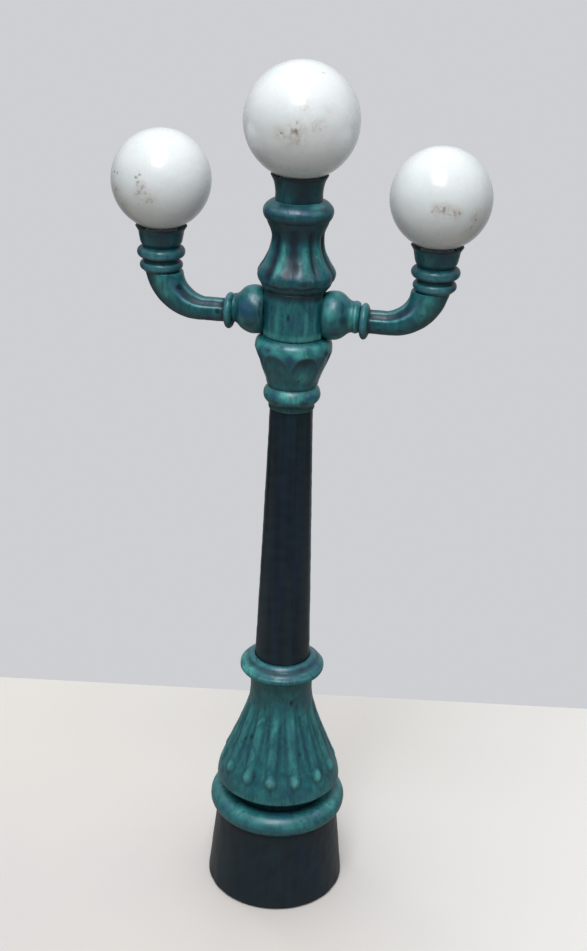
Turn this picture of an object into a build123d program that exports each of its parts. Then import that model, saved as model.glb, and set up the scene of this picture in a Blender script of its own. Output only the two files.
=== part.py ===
from build123d import *
from math import radians, tan
import os

# A table-top model of a three-globe street lamp post. The post is a stack of turned and cast
# pieces pulled together by one hollow threaded rod. Two curved arms carry the side globes, and
# batteries in the plinth light a small screw bulb inside each globe.
#
# Frame: millimetres, +Z up, origin on the post's axis where the feet rest. The arms lie along
# X and the front of the post faces -Y.

os.makedirs("parts", exist_ok=True)

# ---- Driving dimensions -------------------------------------------------------------------

FIT = 0.05                 # radial clearance between pieces that plug together
LIFT_GAP = 0.2             # air left under a piece that lifts off

# plinth
PLINTH_R = 34.7
PLINTH_TOP_R = 30.3
PLINTH_TOP_Z = 42.5
PLINTH_RIM_Z = 0.4
PLINTH_LIP_Z = 5.0
PLINTH_WALL = 2.6
DECK_T = 4.5

# base plate and what it carries
PLATE_R = 31.4
PLATE_Z = 1.4
PLATE_T = 2.2
FOOT_R = 2.4
FOOT_SPREAD = (21.0, 18.5)
SCREW_SPREAD = (15.0, 22.5)
SCREW_R = 1.25
SCREW_HEAD_R = 2.4
SCREW_HEAD_T = 0.7
SCREW_REACH = 8.0
RECESS_W = 0.6
POST_R = 3.2

# batteries
CELL_R = 5.25
CELL_L = 44.5
CELL_PITCH = 11.2
TRAY_L = 53.0
TRAY_W = 24.6
TRAY_TOP_Z = 17.4
TRAY_WALL = 1.2
DOOR_L = 49.0
DOOR_W = 21.0
DOOR_T = 1.4
DOOR_GAP = 0.3
DOOR_SCREW_X = 22.3
DOOR_SCREW_R = 0.85
DOOR_HEAD_R = 1.9
DOOR_HEAD_T = 0.6
CELL_TIP_R = 1.9
CELL_TIP_H = 0.8
SPRING_RADII = (1.9, 2.5, 3.1)
SPRING_WIRE_R = 0.35
SPRING_PITCH = 0.75

# switch
SWITCH_Y = 23.0
KNOB_TRAVEL = 3.0
KNOB_L = 3.2
KNOB_W = 2.0
KNOB_LOW_Z = 0.5
SWITCH_L = 12.6
SWITCH_W = 6.0
SWITCH_H = 5.0

# ballast and tie rod
BALLAST_R = 27.0
BALLAST_Z = 26.0
ROD_R = 4.9
ROD_BORE_R = 3.3
ROD_HOLE_R = 5.0
ROD_LOW_Z = 17.8
ROD_TOP_Z = 361.9
NUT_FLATS = 11.0
NUT_T = 2.5
WASHER_R = 9.0
WASHER_T = 1.2

# base ring, a round tube-like moulding
RING_R = 28.2
RING_ROUND_R = 5.9
RING_Z = 47.9
RING_FLOOR_Z = 50.5

# fluted bell
BELL_FOOT_R = 22.7
BELL_BORE_R = 20.0
BELL_EDGE_Z = 61.0
BELL_NECK_R = 15.2
BELL_NECK_Z = 111.0
BELL_TOP_Z = 122.7
BELL_CAVITY_R = 25.2
BELL_CAVITY_TOP_R = 11.8
BELL_CAVITY_TOP_Z = 117.0
RIB_COUNT = 14
RIB_ANGLE = 7.0
RIB_HEIGHT = 0.5
RIB_TOP_Z = 106.0
RIB_BULB_R = 2.8
RIB_BULB_Z = 72.2
RIB_BULB_PLACE_R = 26.1

# shaft, with its collar below and its bead above
COLLAR_R = 20.6
COLLAR_SEAT_Z = 125.9
COLLAR_TOP_Z = 130.7
SHAFT_LOW_R = 13.45
SHAFT_TOP_R = 9.78
SHAFT_TOP_Z = 263.0
SHAFT_BORE_R = 7.0
BEAD_Z = 266.8
BEAD_R = 13.1
BEAD_LIP_Z = 260.3
BEAD_LIP_R = 10.6
BEAD_LIP_TOP_Z = 263.2
BEAD_TOP_R = 11.3
BEAD_TOP_Z = 271.2

# petal capital and hub
CAPITAL_TOP_Z = 294.8
CAPITAL_TOP_R = 14.3
PETAL_COUNT = 7
PETAL_DEPTH = 0.8
PETAL_HALF_W = 5.2
PETAL_FOOT_HALF_W = 3.9
PETAL_FOOT_Z = 272.6
PETAL_ARCH_Z = 283.3
HUB_R = 14.1
HUB_FLAT_X = 13.0
HUB_BORE_R = 10.8
HUB_TOP_Z = 316.4
HUB_WALL = 3.0

# vase with its cap ring and the centre cup
VASE_TOP_Z = 347.6
VASE_FOOT_R = 14.0
VASE_TOP_R = 14.4
LOBE_COUNT = 9
GROOVE_DEPTH = 0.8
GROOVE_ANGLE = 8.0
CAP_TOP_R = 10.6
CAP_TOP_Z = 355.6
CUP_FOOT_R = 10.42
CUP_FLOOR_Z = 358.6
CUP_RIM_Z = 366.45
CUP_RIM_R = 12.7

# arms
ARM_Z = 303.5
BOSS_Z = 305.1
BOSS_R = 10.9
BOSS_FACE_R = 9.6
BOSS_NECK_R = 6.0
FLANGE_X = 30.1
FLANGE_R = 8.2
FLANGE_EDGE_R = 6.6
FLANGE_T = 4.4
ARM_X = 61.0
ARM_START_R = 5.3
ARM_BEND_R = 18.5
ARM_BEND_ANGLE = 72.0
ARM_BEND_X = 41.0
ARM_LEAN_L = 7.6
ARM_END_R = 8.1
ARM_BORE_R = 2.9
ARM_END_Z = 319.6
SPIGOT_R = 5.0
SPIGOT_TOP_Z = 325.0
NIPPLE_R = 3.6
NIPPLE_BORE_R = 2.4
NIPPLE_IN_X = 6.4
NIPPLE_NUT_X = 9.0
NIPPLE_NUT_FLATS = 9.6
NIPPLE_NUT_T = 2.2
STEM_R = 2.6
STEM_BORE_R = 1.5

# side collar rings and cup
COLLAR_FOOT_R = 7.9
LOW_RING_Z = 322.2
LOW_RING_R = 9.6
HIGH_RING_Z = 328.2
HIGH_RING_R = 10.75
SIDE_CUP_Z = 330.8
SIDE_CUP_FOOT_R = 8.4
SIDE_FLOOR_Z = 332.4
SIDE_RIM_Z = 339.9
SIDE_RIM_R = 11.6
RIM_WALL = 0.6

# globes
CENTRE_GLOBE_R = 25.0
CENTRE_GLOBE_Z = 389.15
CENTRE_NECK_R = 8.7
SIDE_GLOBE_R = 22.0
SIDE_GLOBE_Z = 360.2
SIDE_NECK_R = 7.2
GLOBE_WALL = 1.6
NECK_WALL = 1.3
GASKET_T = 1.1

# lamp holders and bulbs
HOLDER_R = 5.2
HOLDER_H = 8.6
HOLDER_FLOOR = 1.8
BULB_BASE_R = 4.4
BULB_TIP_R = 1.6
BULB_TIP_H = 0.9
THREAD_PITCH = 1.4
BULB_GLASS_R = 5.1
BULB_GLASS_H = 15.5

WIRE_R = 0.55
WIRE_OFFSET = 1.9


# ---- Helpers ------------------------------------------------------------------------------

def save(builder, name):
    """Label a finished sub-part and write it."""
    builder.part.label = name
    export_step(builder.part, f"parts/{name}.step")


def sides():
    """The two arms: name and direction along X."""
    return (("left", -1), ("right", 1))


def lamps():
    """Each lamp's name, its place along X, the height of its cup floor and of its holder."""
    return (
        ("left", -ARM_X, SIDE_FLOOR_Z, SIDE_FLOOR_Z),
        ("centre", 0, CUP_FLOOR_Z, ROD_TOP_Z + FIT),
        ("right", ARM_X, SIDE_FLOOR_Z, SIDE_FLOOR_Z),
    )


def corner_places(spread):
    """The four corners of a rectangle centred on the post."""
    return GridLocations(2 * spread[0], 2 * spread[1], 2, 2)


# ---- Plinth -------------------------------------------------------------------------------

with BuildPart() as plinth:
    with BuildSketch(Plane.XZ):
        with BuildLine():
            Polyline(
                (0, PLINTH_TOP_Z),
                (PLINTH_TOP_R, PLINTH_TOP_Z),
                (PLINTH_R - 0.5, PLINTH_LIP_Z),
                (PLINTH_R, PLINTH_RIM_Z + 1.0),
                (PLINTH_R, PLINTH_RIM_Z),
                (PLINTH_R - PLINTH_WALL, PLINTH_RIM_Z),
                (PLINTH_TOP_R - PLINTH_WALL, PLINTH_TOP_Z - DECK_T),
                (0, PLINTH_TOP_Z - DECK_T),
                close=True,
            )
        make_face()
    revolve(axis=Axis.Z)
    # posts that take the base plate's screws
    with BuildSketch(Plane.XY.offset(PLATE_Z + PLATE_T)):
        with corner_places(SCREW_SPREAD):
            Circle(POST_R)
    extrude(amount=PLINTH_TOP_Z - DECK_T - PLATE_Z - PLATE_T)
    with BuildSketch(Plane.XY.offset(PLATE_Z + PLATE_T)):
        with corner_places(SCREW_SPREAD):
            Circle(SCREW_R + FIT)
    extrude(amount=SCREW_REACH + 1.0, mode=Mode.SUBTRACT)
    with Locations((0, 0, PLINTH_TOP_Z)):
        Hole(ROD_HOLE_R)
save(plinth, "plinth")

with BuildPart() as base_plate:
    with BuildSketch(Plane.XY.offset(PLATE_Z)):
        Circle(PLATE_R)
        Rectangle(DOOR_L + 2 * DOOR_GAP, DOOR_W + 2 * DOOR_GAP, mode=Mode.SUBTRACT)
        with corner_places(SCREW_SPREAD):
            Circle(SCREW_R + 0.15, mode=Mode.SUBTRACT)
        with Locations((0, SWITCH_Y)):
            SlotOverall(KNOB_TRAVEL + KNOB_L + 1.2, KNOB_W + 0.8, mode=Mode.SUBTRACT)
    extrude(amount=PLATE_T)
    # the door's screw goes into a tongue at the opening's right end
    with Locations((DOOR_L / 2, 0, PLATE_Z + PLATE_T)):
        Box(7.0, 7.0, PLATE_T - DOOR_T - 0.15, align=(Align.CENTER, Align.CENTER, Align.MAX))
    with Locations((DOOR_SCREW_X, 0, PLATE_Z + PLATE_T)):
        Hole(DOOR_SCREW_R + 0.25)
save(base_plate, "base_plate")

with BuildPart() as base_plate_screws:
    with BuildSketch(Plane.XY.offset(PLATE_Z - SCREW_HEAD_T)):
        with corner_places(SCREW_SPREAD):
            Circle(SCREW_HEAD_R)
    extrude(amount=SCREW_HEAD_T)
    with BuildSketch(Plane.XY.offset(PLATE_Z)):
        with corner_places(SCREW_SPREAD):
            Circle(SCREW_R)
    extrude(amount=PLATE_T + SCREW_REACH)
    # cross recesses in the heads
    with BuildSketch(Plane.XY.offset(PLATE_Z - SCREW_HEAD_T)):
        with corner_places(SCREW_SPREAD):
            Rectangle(SCREW_HEAD_R, RECESS_W)
            Rectangle(RECESS_W, SCREW_HEAD_R)
    extrude(amount=SCREW_HEAD_T / 2, mode=Mode.SUBTRACT)
save(base_plate_screws, "base_plate_screws")

with BuildPart() as rubber_feet:
    with BuildSketch(Plane.XY):
        with corner_places(FOOT_SPREAD):
            Circle(FOOT_R)
    extrude(amount=PLATE_Z)
save(rubber_feet, "rubber_feet")

# ---- Batteries, contacts and door ---------------------------------------------------------

TRAY_Z = PLATE_Z + PLATE_T
CELL_Z = TRAY_Z + CELL_R + 0.4

with BuildPart() as battery_tray:
    with Locations((0, 0, TRAY_Z)):
        Box(TRAY_L, TRAY_W, TRAY_TOP_Z - TRAY_Z, align=(Align.CENTER, Align.CENTER, Align.MIN))
        Box(
            TRAY_L - 2 * TRAY_WALL,
            TRAY_W - 2 * TRAY_WALL,
            TRAY_TOP_Z - TRAY_Z - TRAY_WALL,
            align=(Align.CENTER, Align.CENTER, Align.MIN),
            mode=Mode.SUBTRACT,
        )
    # low rib between the two cells
    with Locations((0, 0, TRAY_TOP_Z - TRAY_WALL)):
        Box(30.0, 0.6, 3.0, align=(Align.CENTER, Align.CENTER, Align.MAX))
    # way out for the wires
    with Locations((-9.0, 0, TRAY_TOP_Z), (9.0, 0, TRAY_TOP_Z)):
        Hole(1.2, depth=TRAY_WALL)
save(battery_tray, "battery_tray")

with BuildPart() as battery_cells:
    for row, direction in ((-1, 1), (1, -1)):
        with BuildSketch(Plane.YZ.offset(-direction * (CELL_L / 2 - 0.6))):
            with Locations((row * CELL_PITCH / 2, CELL_Z)):
                Circle(CELL_R)
        extrude(amount=direction * (CELL_L - CELL_TIP_H - 0.6))
        with BuildSketch(Plane.YZ.offset(direction * (CELL_L / 2 - CELL_TIP_H))):
            with Locations((row * CELL_PITCH / 2, CELL_Z)):
                Circle(CELL_TIP_R)
        extrude(amount=direction * CELL_TIP_H)
save(battery_cells, "battery_cells")

with BuildPart() as contact_springs:
    # each spring is three closed turns that grow towards the tray's wall
    for row, direction in ((-1, -1), (1, 1)):
        for turn, radius in enumerate(SPRING_RADII):
            place = direction * (CELL_L / 2 - 0.2 + SPRING_PITCH * turn)
            with BuildSketch(Plane.YZ.offset(place)):
                with Locations((row * CELL_PITCH / 2, CELL_Z)):
                    Circle(radius + SPRING_WIRE_R)
                    Circle(radius - SPRING_WIRE_R, mode=Mode.SUBTRACT)
            extrude(amount=SPRING_PITCH / 2 + 0.005, both=True)
save(contact_springs, "contact_springs")

with BuildPart() as contact_plates:
    for direction in (-1, 1):
        with Locations((direction * (TRAY_L / 2 - TRAY_WALL - 0.25), 0, CELL_Z)):
            Box(0.4, 20.0, 8.4)
save(contact_plates, "contact_plates")

with BuildPart() as battery_door:
    with Locations((0, 0, PLATE_Z)):
        Box(DOOR_L, DOOR_W, DOOR_T, align=(Align.CENTER, Align.CENTER, Align.MIN))
    # finger grooves
    with Locations((-6.0, 0, PLATE_Z), (-3.0, 0, PLATE_Z), (0, 0, PLATE_Z)):
        Box(1.2, 10.0, 0.7, mode=Mode.SUBTRACT)
    with Locations((DOOR_SCREW_X, 0, PLATE_Z + DOOR_T)):
        Hole(DOOR_SCREW_R + 0.25)
save(battery_door, "battery_door")

with BuildPart() as battery_door_screw:
    with BuildSketch(Plane.XY.offset(PLATE_Z - DOOR_HEAD_T)):
        with Locations((DOOR_SCREW_X, 0)):
            Circle(DOOR_HEAD_R)
    extrude(amount=DOOR_HEAD_T)
    with BuildSketch(Plane.XY.offset(PLATE_Z)):
        with Locations((DOOR_SCREW_X, 0)):
            Circle(DOOR_SCREW_R)
    extrude(amount=PLATE_T + 0.6)
    with BuildSketch(Plane.XY.offset(PLATE_Z - DOOR_HEAD_T)):
        with Locations((DOOR_SCREW_X, 0)):
            Rectangle(DOOR_HEAD_R, RECESS_W)
            Rectangle(RECESS_W, DOOR_HEAD_R)
    extrude(amount=DOOR_HEAD_T / 2, mode=Mode.SUBTRACT)
save(battery_door_screw, "battery_door_screw")

# ---- Switch -------------------------------------------------------------------------------

with BuildPart() as switch_body:
    with Locations((0, SWITCH_Y, PLATE_Z + PLATE_T)):
        Box(SWITCH_L, SWITCH_W, SWITCH_H, align=(Align.CENTER, Align.CENTER, Align.MIN))
        Box(
            KNOB_TRAVEL + 5.0,
            3.2,
            2.2,
            align=(Align.CENTER, Align.CENTER, Align.MIN),
            mode=Mode.SUBTRACT,
        )
    # terminals
    with Locations(
        (-4.0, SWITCH_Y, PLATE_Z + PLATE_T + SWITCH_H),
        (0, SWITCH_Y, PLATE_Z + PLATE_T + SWITCH_H),
        (4.0, SWITCH_Y, PLATE_Z + PLATE_T + SWITCH_H),
    ):
        Box(1.2, 0.5, 3.0, align=(Align.CENTER, Align.CENTER, Align.MIN))
save(switch_body, "switch_body")

with BuildPart() as switch_knob:
    with Locations((-KNOB_TRAVEL / 2, SWITCH_Y, KNOB_LOW_Z)):
        knob_h = PLATE_Z + PLATE_T - KNOB_LOW_Z + 1.6
        Box(KNOB_L, KNOB_W, knob_h, align=(Align.CENTER, Align.CENTER, Align.MIN))
    with Locations((-KNOB_TRAVEL / 2, SWITCH_Y, PLATE_Z + PLATE_T + 0.3)):
        Box(4.6, 2.8, 1.4, align=(Align.CENTER, Align.CENTER, Align.MIN))
save(switch_knob, "switch_knob")

# ---- Ballast and tie rod ------------------------------------------------------------------

with BuildPart() as ballast_weight:
    with BuildSketch(Plane.XY.offset(BALLAST_Z)):
        Circle(BALLAST_R)
        Circle(ROD_HOLE_R, mode=Mode.SUBTRACT)
        with corner_places(SCREW_SPREAD):
            Circle(POST_R + 0.5, mode=Mode.SUBTRACT)
    extrude(amount=PLINTH_TOP_Z - DECK_T - BALLAST_Z)
save(ballast_weight, "ballast_weight")

with BuildPart() as tie_rod:
    with BuildSketch(Plane.XY.offset(ROD_LOW_Z)):
        Circle(ROD_R)
        Circle(ROD_BORE_R, mode=Mode.SUBTRACT)
    extrude(amount=ROD_TOP_Z - ROD_LOW_Z)
    # windows through which the side wires leave for the arms
    with Locations((0, 0, ARM_Z - 3.0)):
        Box(2 * ROD_R + 1, 3.0, 14.0, mode=Mode.SUBTRACT)
save(tie_rod, "tie_rod")

with BuildPart() as tie_rod_bottom_washer:
    with BuildSketch(Plane.XY.offset(BALLAST_Z - WASHER_T)):
        Circle(WASHER_R)
        Circle(ROD_HOLE_R, mode=Mode.SUBTRACT)
    extrude(amount=WASHER_T)
save(tie_rod_bottom_washer, "tie_rod_bottom_washer")


def hex_nut(base_z):
    """A thin nut on the tie rod."""
    with BuildPart() as nut:
        with BuildSketch(Plane.XY.offset(base_z)):
            RegularPolygon(NUT_FLATS / 2, 6, major_radius=False)
            Circle(ROD_R + FIT, mode=Mode.SUBTRACT)
        extrude(amount=NUT_T)
    return nut


save(hex_nut(BALLAST_Z - WASHER_T - NUT_T), "tie_rod_bottom_nut")
save(hex_nut(CUP_FLOOR_Z), "tie_rod_top_nut")

# ---- Base ring ----------------------------------------------------------------------------

ring_flat_r = RING_R + (RING_ROUND_R**2 - (RING_Z - PLINTH_TOP_Z) ** 2) ** 0.5
ring_inner_r = RING_R - (RING_ROUND_R**2 - (RING_Z - RING_FLOOR_Z) ** 2) ** 0.5

with BuildPart() as base_ring:
    with BuildSketch(Plane.XZ):
        with BuildLine():
            Polyline(
                (ring_inner_r, RING_FLOOR_Z),
                (ROD_HOLE_R, RING_FLOOR_Z),
                (ROD_HOLE_R, PLINTH_TOP_Z),
                (ring_flat_r, PLINTH_TOP_Z),
            )
            ThreePointArc(
                (ring_flat_r, PLINTH_TOP_Z),
                (RING_R + RING_ROUND_R, RING_Z),
                (RING_R, RING_Z + RING_ROUND_R),
            )
            ThreePointArc(
                (RING_R, RING_Z + RING_ROUND_R),
                (RING_R - RING_ROUND_R * 0.766, RING_Z + RING_ROUND_R * 0.643),
                (ring_inner_r, RING_FLOOR_Z),
            )
        make_face()
    revolve(axis=Axis.Z)
save(base_ring, "base_ring")

# ---- Fluted bell --------------------------------------------------------------------------

BELL_OUTLINE = (
    (30.9, BELL_EDGE_Z),
    (30.4, 64.5),
    (28.8, 69.5),
    (24.5, 80.0),
    (19.7, 92.0),
    (16.3, 102.5),
    (BELL_NECK_R, BELL_NECK_Z),
)

with BuildPart() as bell_rib:
    with BuildSketch(Plane.XZ):
        with BuildLine():
            Spline([(r + RIB_HEIGHT, z) for r, z in BELL_OUTLINE[1:-1]])
            # behind its face the rib reaches a little into the bell's wall
            Polyline(
                (16.3 + RIB_HEIGHT, 102.5),
                (15.0, RIB_TOP_Z),
                (14.0, RIB_TOP_Z),
                (26.5, 66.5),
                (30.4 + RIB_HEIGHT, 64.5),
            )
        make_face()
    revolve(axis=Axis.Z, revolution_arc=RIB_ANGLE)
    split(bisect_by=Plane.XY.offset(RIB_BULB_Z))

with BuildPart() as fluted_bell:
    with BuildSketch(Plane.XZ):
        with BuildLine():
            Spline(BELL_OUTLINE)
            Polyline(
                (BELL_NECK_R, BELL_NECK_Z),
                (BELL_NECK_R, BELL_TOP_Z),
                (ROD_HOLE_R, BELL_TOP_Z),
                (ROD_HOLE_R, BELL_CAVITY_TOP_Z),
                (BELL_CAVITY_TOP_R, BELL_CAVITY_TOP_Z),
                (BELL_CAVITY_TOP_R, 104.0),
                (BELL_CAVITY_R, 66.5),
                (BELL_BORE_R, 63.0),
                (BELL_BORE_R, RING_FLOOR_Z),
                (BELL_FOOT_R, RING_FLOOR_Z),
                (BELL_FOOT_R, BELL_EDGE_Z),
                (30.9, BELL_EDGE_Z),
            )
        make_face()
    revolve(axis=Axis.Z)
    with PolarLocations(0, RIB_COUNT, start_angle=-90 - RIB_ANGLE / 2):
        add(bell_rib.part)
    with PolarLocations(RIB_BULB_PLACE_R, RIB_COUNT, start_angle=-90):
        with Locations((0, 0, RIB_BULB_Z)):
            Sphere(RIB_BULB_R)
save(fluted_bell, "fluted_bell")

# ---- Collar, shaft and bead ---------------------------------------------------------------

with BuildPart() as bell_collar:
    with BuildSketch(Plane.XZ):
        with BuildLine():
            Polyline(
                (SHAFT_LOW_R + FIT, COLLAR_TOP_Z),
                (SHAFT_LOW_R + FIT, COLLAR_SEAT_Z),
                (ROD_HOLE_R, COLLAR_SEAT_Z),
                (ROD_HOLE_R, BELL_TOP_Z),
                (COLLAR_R - 0.8, BELL_TOP_Z),
            )
            Spline(
                (COLLAR_R - 0.8, BELL_TOP_Z),
                (COLLAR_R, BELL_TOP_Z + 1.2),
                (18.6, COLLAR_TOP_Z - 3.6),
                (15.6, COLLAR_TOP_Z - 0.9),
                (SHAFT_LOW_R + FIT, COLLAR_TOP_Z),
                tangents=((1, 0.6), (-1, 0.25)),
            )
        make_face()
    revolve(axis=Axis.Z)
save(bell_collar, "bell_collar")

with BuildPart() as shaft:
    with BuildSketch(Plane.XZ):
        with BuildLine():
            Polyline(
                (SHAFT_BORE_R, COLLAR_SEAT_Z),
                (SHAFT_LOW_R, COLLAR_SEAT_Z),
                (SHAFT_TOP_R, SHAFT_TOP_Z),
                (SHAFT_BORE_R, SHAFT_TOP_Z),
                close=True,
            )
        make_face()
    revolve(axis=Axis.Z)
save(shaft, "shaft")

with BuildPart() as capital_bead:
    with BuildSketch(Plane.XZ):
        with BuildLine():
            Polyline(
                (BEAD_TOP_R, BEAD_TOP_Z - 0.4),
                (BEAD_TOP_R, BEAD_TOP_Z),
                (ROD_HOLE_R, BEAD_TOP_Z),
                (ROD_HOLE_R, SHAFT_TOP_Z),
                (SHAFT_TOP_R + 0.12, SHAFT_TOP_Z),
                (SHAFT_TOP_R + 0.12, BEAD_LIP_Z),
                (BEAD_LIP_R, BEAD_LIP_Z),
                (BEAD_LIP_R, BEAD_LIP_TOP_Z),
            )
            ThreePointArc(
                (BEAD_LIP_R, BEAD_LIP_TOP_Z),
                (BEAD_R, BEAD_Z),
                (BEAD_TOP_R, BEAD_TOP_Z - 0.4),
            )
        make_face()
    revolve(axis=Axis.Z)
save(capital_bead, "capital_bead")

# ---- Petal capital ------------------------------------------------------------------------

CAPITAL_OUTLINE = (
    (BEAD_TOP_R, BEAD_TOP_Z),
    (13.2, 276.2),
    (15.1, 280.4),
    (16.6, 284.6),
    (17.45, 288.7),
    (16.9, 292.4),
    (CAPITAL_TOP_R, CAPITAL_TOP_Z),
)

with BuildPart() as petal_panel:
    # an arched panel on the capital's flank, as deep as the recess
    with BuildSketch(Plane.XZ.offset(8.0)):
        with BuildLine():
            Polyline(
                (-PETAL_HALF_W, PETAL_ARCH_Z),
                (-PETAL_FOOT_HALF_W, PETAL_FOOT_Z),
                (PETAL_FOOT_HALF_W, PETAL_FOOT_Z),
                (PETAL_HALF_W, PETAL_ARCH_Z),
            )
            ThreePointArc(
                (PETAL_HALF_W, PETAL_ARCH_Z),
                (0, PETAL_ARCH_Z + PETAL_HALF_W),
                (-PETAL_HALF_W, PETAL_ARCH_Z),
            )
        make_face()
    extrude(amount=14.0)
    with BuildSketch(Plane.XZ):
        with BuildLine():
            Spline([(r - PETAL_DEPTH, z) for r, z in CAPITAL_OUTLINE])
            Polyline(
                (CAPITAL_TOP_R - PETAL_DEPTH, CAPITAL_TOP_Z),
                (30.0, CAPITAL_TOP_Z),
                (30.0, BEAD_TOP_Z),
                (BEAD_TOP_R - PETAL_DEPTH, BEAD_TOP_Z),
            )
        make_face()
    revolve(axis=Axis.Z, mode=Mode.INTERSECT)

with BuildPart() as petal_capital:
    with BuildSketch(Plane.XZ):
        with BuildLine():
            Spline(CAPITAL_OUTLINE)
            Polyline(
                (CAPITAL_TOP_R, CAPITAL_TOP_Z),
                (ROD_HOLE_R, CAPITAL_TOP_Z),
                (ROD_HOLE_R, BEAD_TOP_Z),
                (BEAD_TOP_R, BEAD_TOP_Z),
            )
        make_face()
    revolve(axis=Axis.Z)
    with PolarLocations(0, PETAL_COUNT, start_angle=180 / PETAL_COUNT):
        add(petal_panel.part, mode=Mode.SUBTRACT)
save(petal_capital, "petal_capital")

# ---- Hub ----------------------------------------------------------------------------------

with BuildPart() as arm_hub:
    with BuildSketch(Plane.XY.offset(CAPITAL_TOP_Z)):
        Circle(HUB_R)
    extrude(amount=HUB_TOP_Z - CAPITAL_TOP_Z)
    fillet(arm_hub.edges().filter_by(GeomType.CIRCLE), radius=0.6)
    with BuildSketch(Plane.XY.offset(CAPITAL_TOP_Z + HUB_WALL)):
        Circle(HUB_BORE_R)
    extrude(amount=HUB_TOP_Z - CAPITAL_TOP_Z - 2 * HUB_WALL, mode=Mode.SUBTRACT)
    with Locations((0, 0, HUB_TOP_Z)):
        Hole(ROD_HOLE_R)
    # flats for the arm bosses, and holes for their nipples
    for direction in (-1, 1):
        with Locations((direction * HUB_FLAT_X, 0, BOSS_Z)):
            Box(
                4.0,
                30.0,
                2 * HUB_R,
                align=(Align.MIN if direction > 0 else Align.MAX, Align.CENTER, Align.CENTER),
                mode=Mode.SUBTRACT,
            )
    with BuildSketch(Plane.YZ.offset(-HUB_R)):
        with Locations((0, ARM_Z)):
            Circle(NIPPLE_R + FIT)
    extrude(amount=2 * HUB_R, mode=Mode.SUBTRACT)
save(arm_hub, "arm_hub")

# ---- Vase, cap ring and centre cup --------------------------------------------------------

VASE_OUTLINE = (
    (VASE_FOOT_R, HUB_TOP_Z),
    (16.3, 319.3),
    (17.58, 322.8),
    (16.9, 325.3),
    (14.4, 329.3),
    (12.5, 333.7),
    (11.75, 339.0),
    (12.3, 343.0),
    (VASE_TOP_R, VASE_TOP_Z),
)

with BuildPart() as vase_groove:
    with BuildSketch(Plane.XZ):
        with BuildLine():
            Spline([(r - GROOVE_DEPTH, z) for r, z in VASE_OUTLINE[1:-1]])
            Polyline(
                (12.3 - GROOVE_DEPTH, 343.0),
                (20.0, 343.0),
                (20.0, 319.3),
                (16.3 - GROOVE_DEPTH, 319.3),
            )
        make_face()
    revolve(axis=Axis.Z, revolution_arc=GROOVE_ANGLE)

with BuildPart() as fluted_vase:
    with BuildSketch(Plane.XZ):
        with BuildLine():
            Spline(VASE_OUTLINE)
            Polyline(
                (VASE_TOP_R, VASE_TOP_Z),
                (ROD_HOLE_R, VASE_TOP_Z),
                (ROD_HOLE_R, HUB_TOP_Z),
                (VASE_FOOT_R, HUB_TOP_Z),
            )
        make_face()
    revolve(axis=Axis.Z)
    with PolarLocations(0, LOBE_COUNT, start_angle=-90 - GROOVE_ANGLE / 2):
        add(vase_groove.part, mode=Mode.SUBTRACT)
save(fluted_vase, "fluted_vase")

with BuildPart() as vase_cap_ring:
    with BuildSketch(Plane.XZ):
        with BuildLine():
            Spline(
                (VASE_TOP_R, VASE_TOP_Z),
                (15.43, 350.7),
                (14.6, 353.2),
                (CAP_TOP_R, CAP_TOP_Z),
            )
            Polyline(
                (CAP_TOP_R, CAP_TOP_Z),
                (ROD_HOLE_R, CAP_TOP_Z),
                (ROD_HOLE_R, VASE_TOP_Z),
                (VASE_TOP_R, VASE_TOP_Z),
            )
        make_face()
    revolve(axis=Axis.Z)
save(vase_cap_ring, "vase_cap_ring")

with BuildPart() as top_globe_cup:
    with BuildSketch(Plane.XZ):
        with BuildLine():
            Spline(
                (CUP_FOOT_R, CAP_TOP_Z),
                (10.5, 359.6),
                (11.35, 363.7),
                (CUP_RIM_R, CUP_RIM_Z),
            )
            Line((CUP_RIM_R, CUP_RIM_Z), (CUP_RIM_R - RIM_WALL, CUP_RIM_Z))
            Spline((CUP_RIM_R - RIM_WALL, CUP_RIM_Z), (10.3, 363.9), (9.2, 361.2))
            Polyline(
                (9.2, 361.2),
                (9.1, CUP_FLOOR_Z),
                (ROD_HOLE_R, CUP_FLOOR_Z),
                (ROD_HOLE_R, CAP_TOP_Z),
                (CUP_FOOT_R, CAP_TOP_Z),
            )
        make_face()
    revolve(axis=Axis.Z)
save(top_globe_cup, "top_globe_cup")

# ---- Arms ---------------------------------------------------------------------------------

BEND_STEPS = 6


def arm_stations():
    """Places along the right arm's centre line: x, z, heading in degrees and radius."""
    stations = [(FLANGE_X, ARM_Z, 0.0, ARM_START_R)]
    growth = ARM_END_R - ARM_START_R - 0.2
    centre = Vector(ARM_BEND_X, 0, ARM_Z + ARM_BEND_R)
    for step in range(BEND_STEPS + 1):
        angle = ARM_BEND_ANGLE * step / BEND_STEPS
        spoke = Vector(0, 0, -ARM_BEND_R).rotate(Axis.Y, -angle)
        place = centre + spoke
        radius = ARM_START_R + 0.2 + growth * step / BEND_STEPS
        stations.append((place.X, place.Z, angle, radius))
    x, z, heading, radius = stations[-1]
    run = Vector(ARM_LEAN_L, 0, 0).rotate(Axis.Y, -heading)
    stations.append((x + run.X, z + run.Z, heading, radius))
    return stations


# the bend's two straight runs, made longer, meet at this corner
ARM_CORNER_X = ARM_BEND_X + ARM_BEND_R * tan(radians(ARM_BEND_ANGLE / 2))
# height at which the leaning run reaches the collar's axis
ARM_LEAN_Z = ARM_Z + (ARM_X - ARM_CORNER_X) * tan(radians(ARM_BEND_ANGLE))


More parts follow.
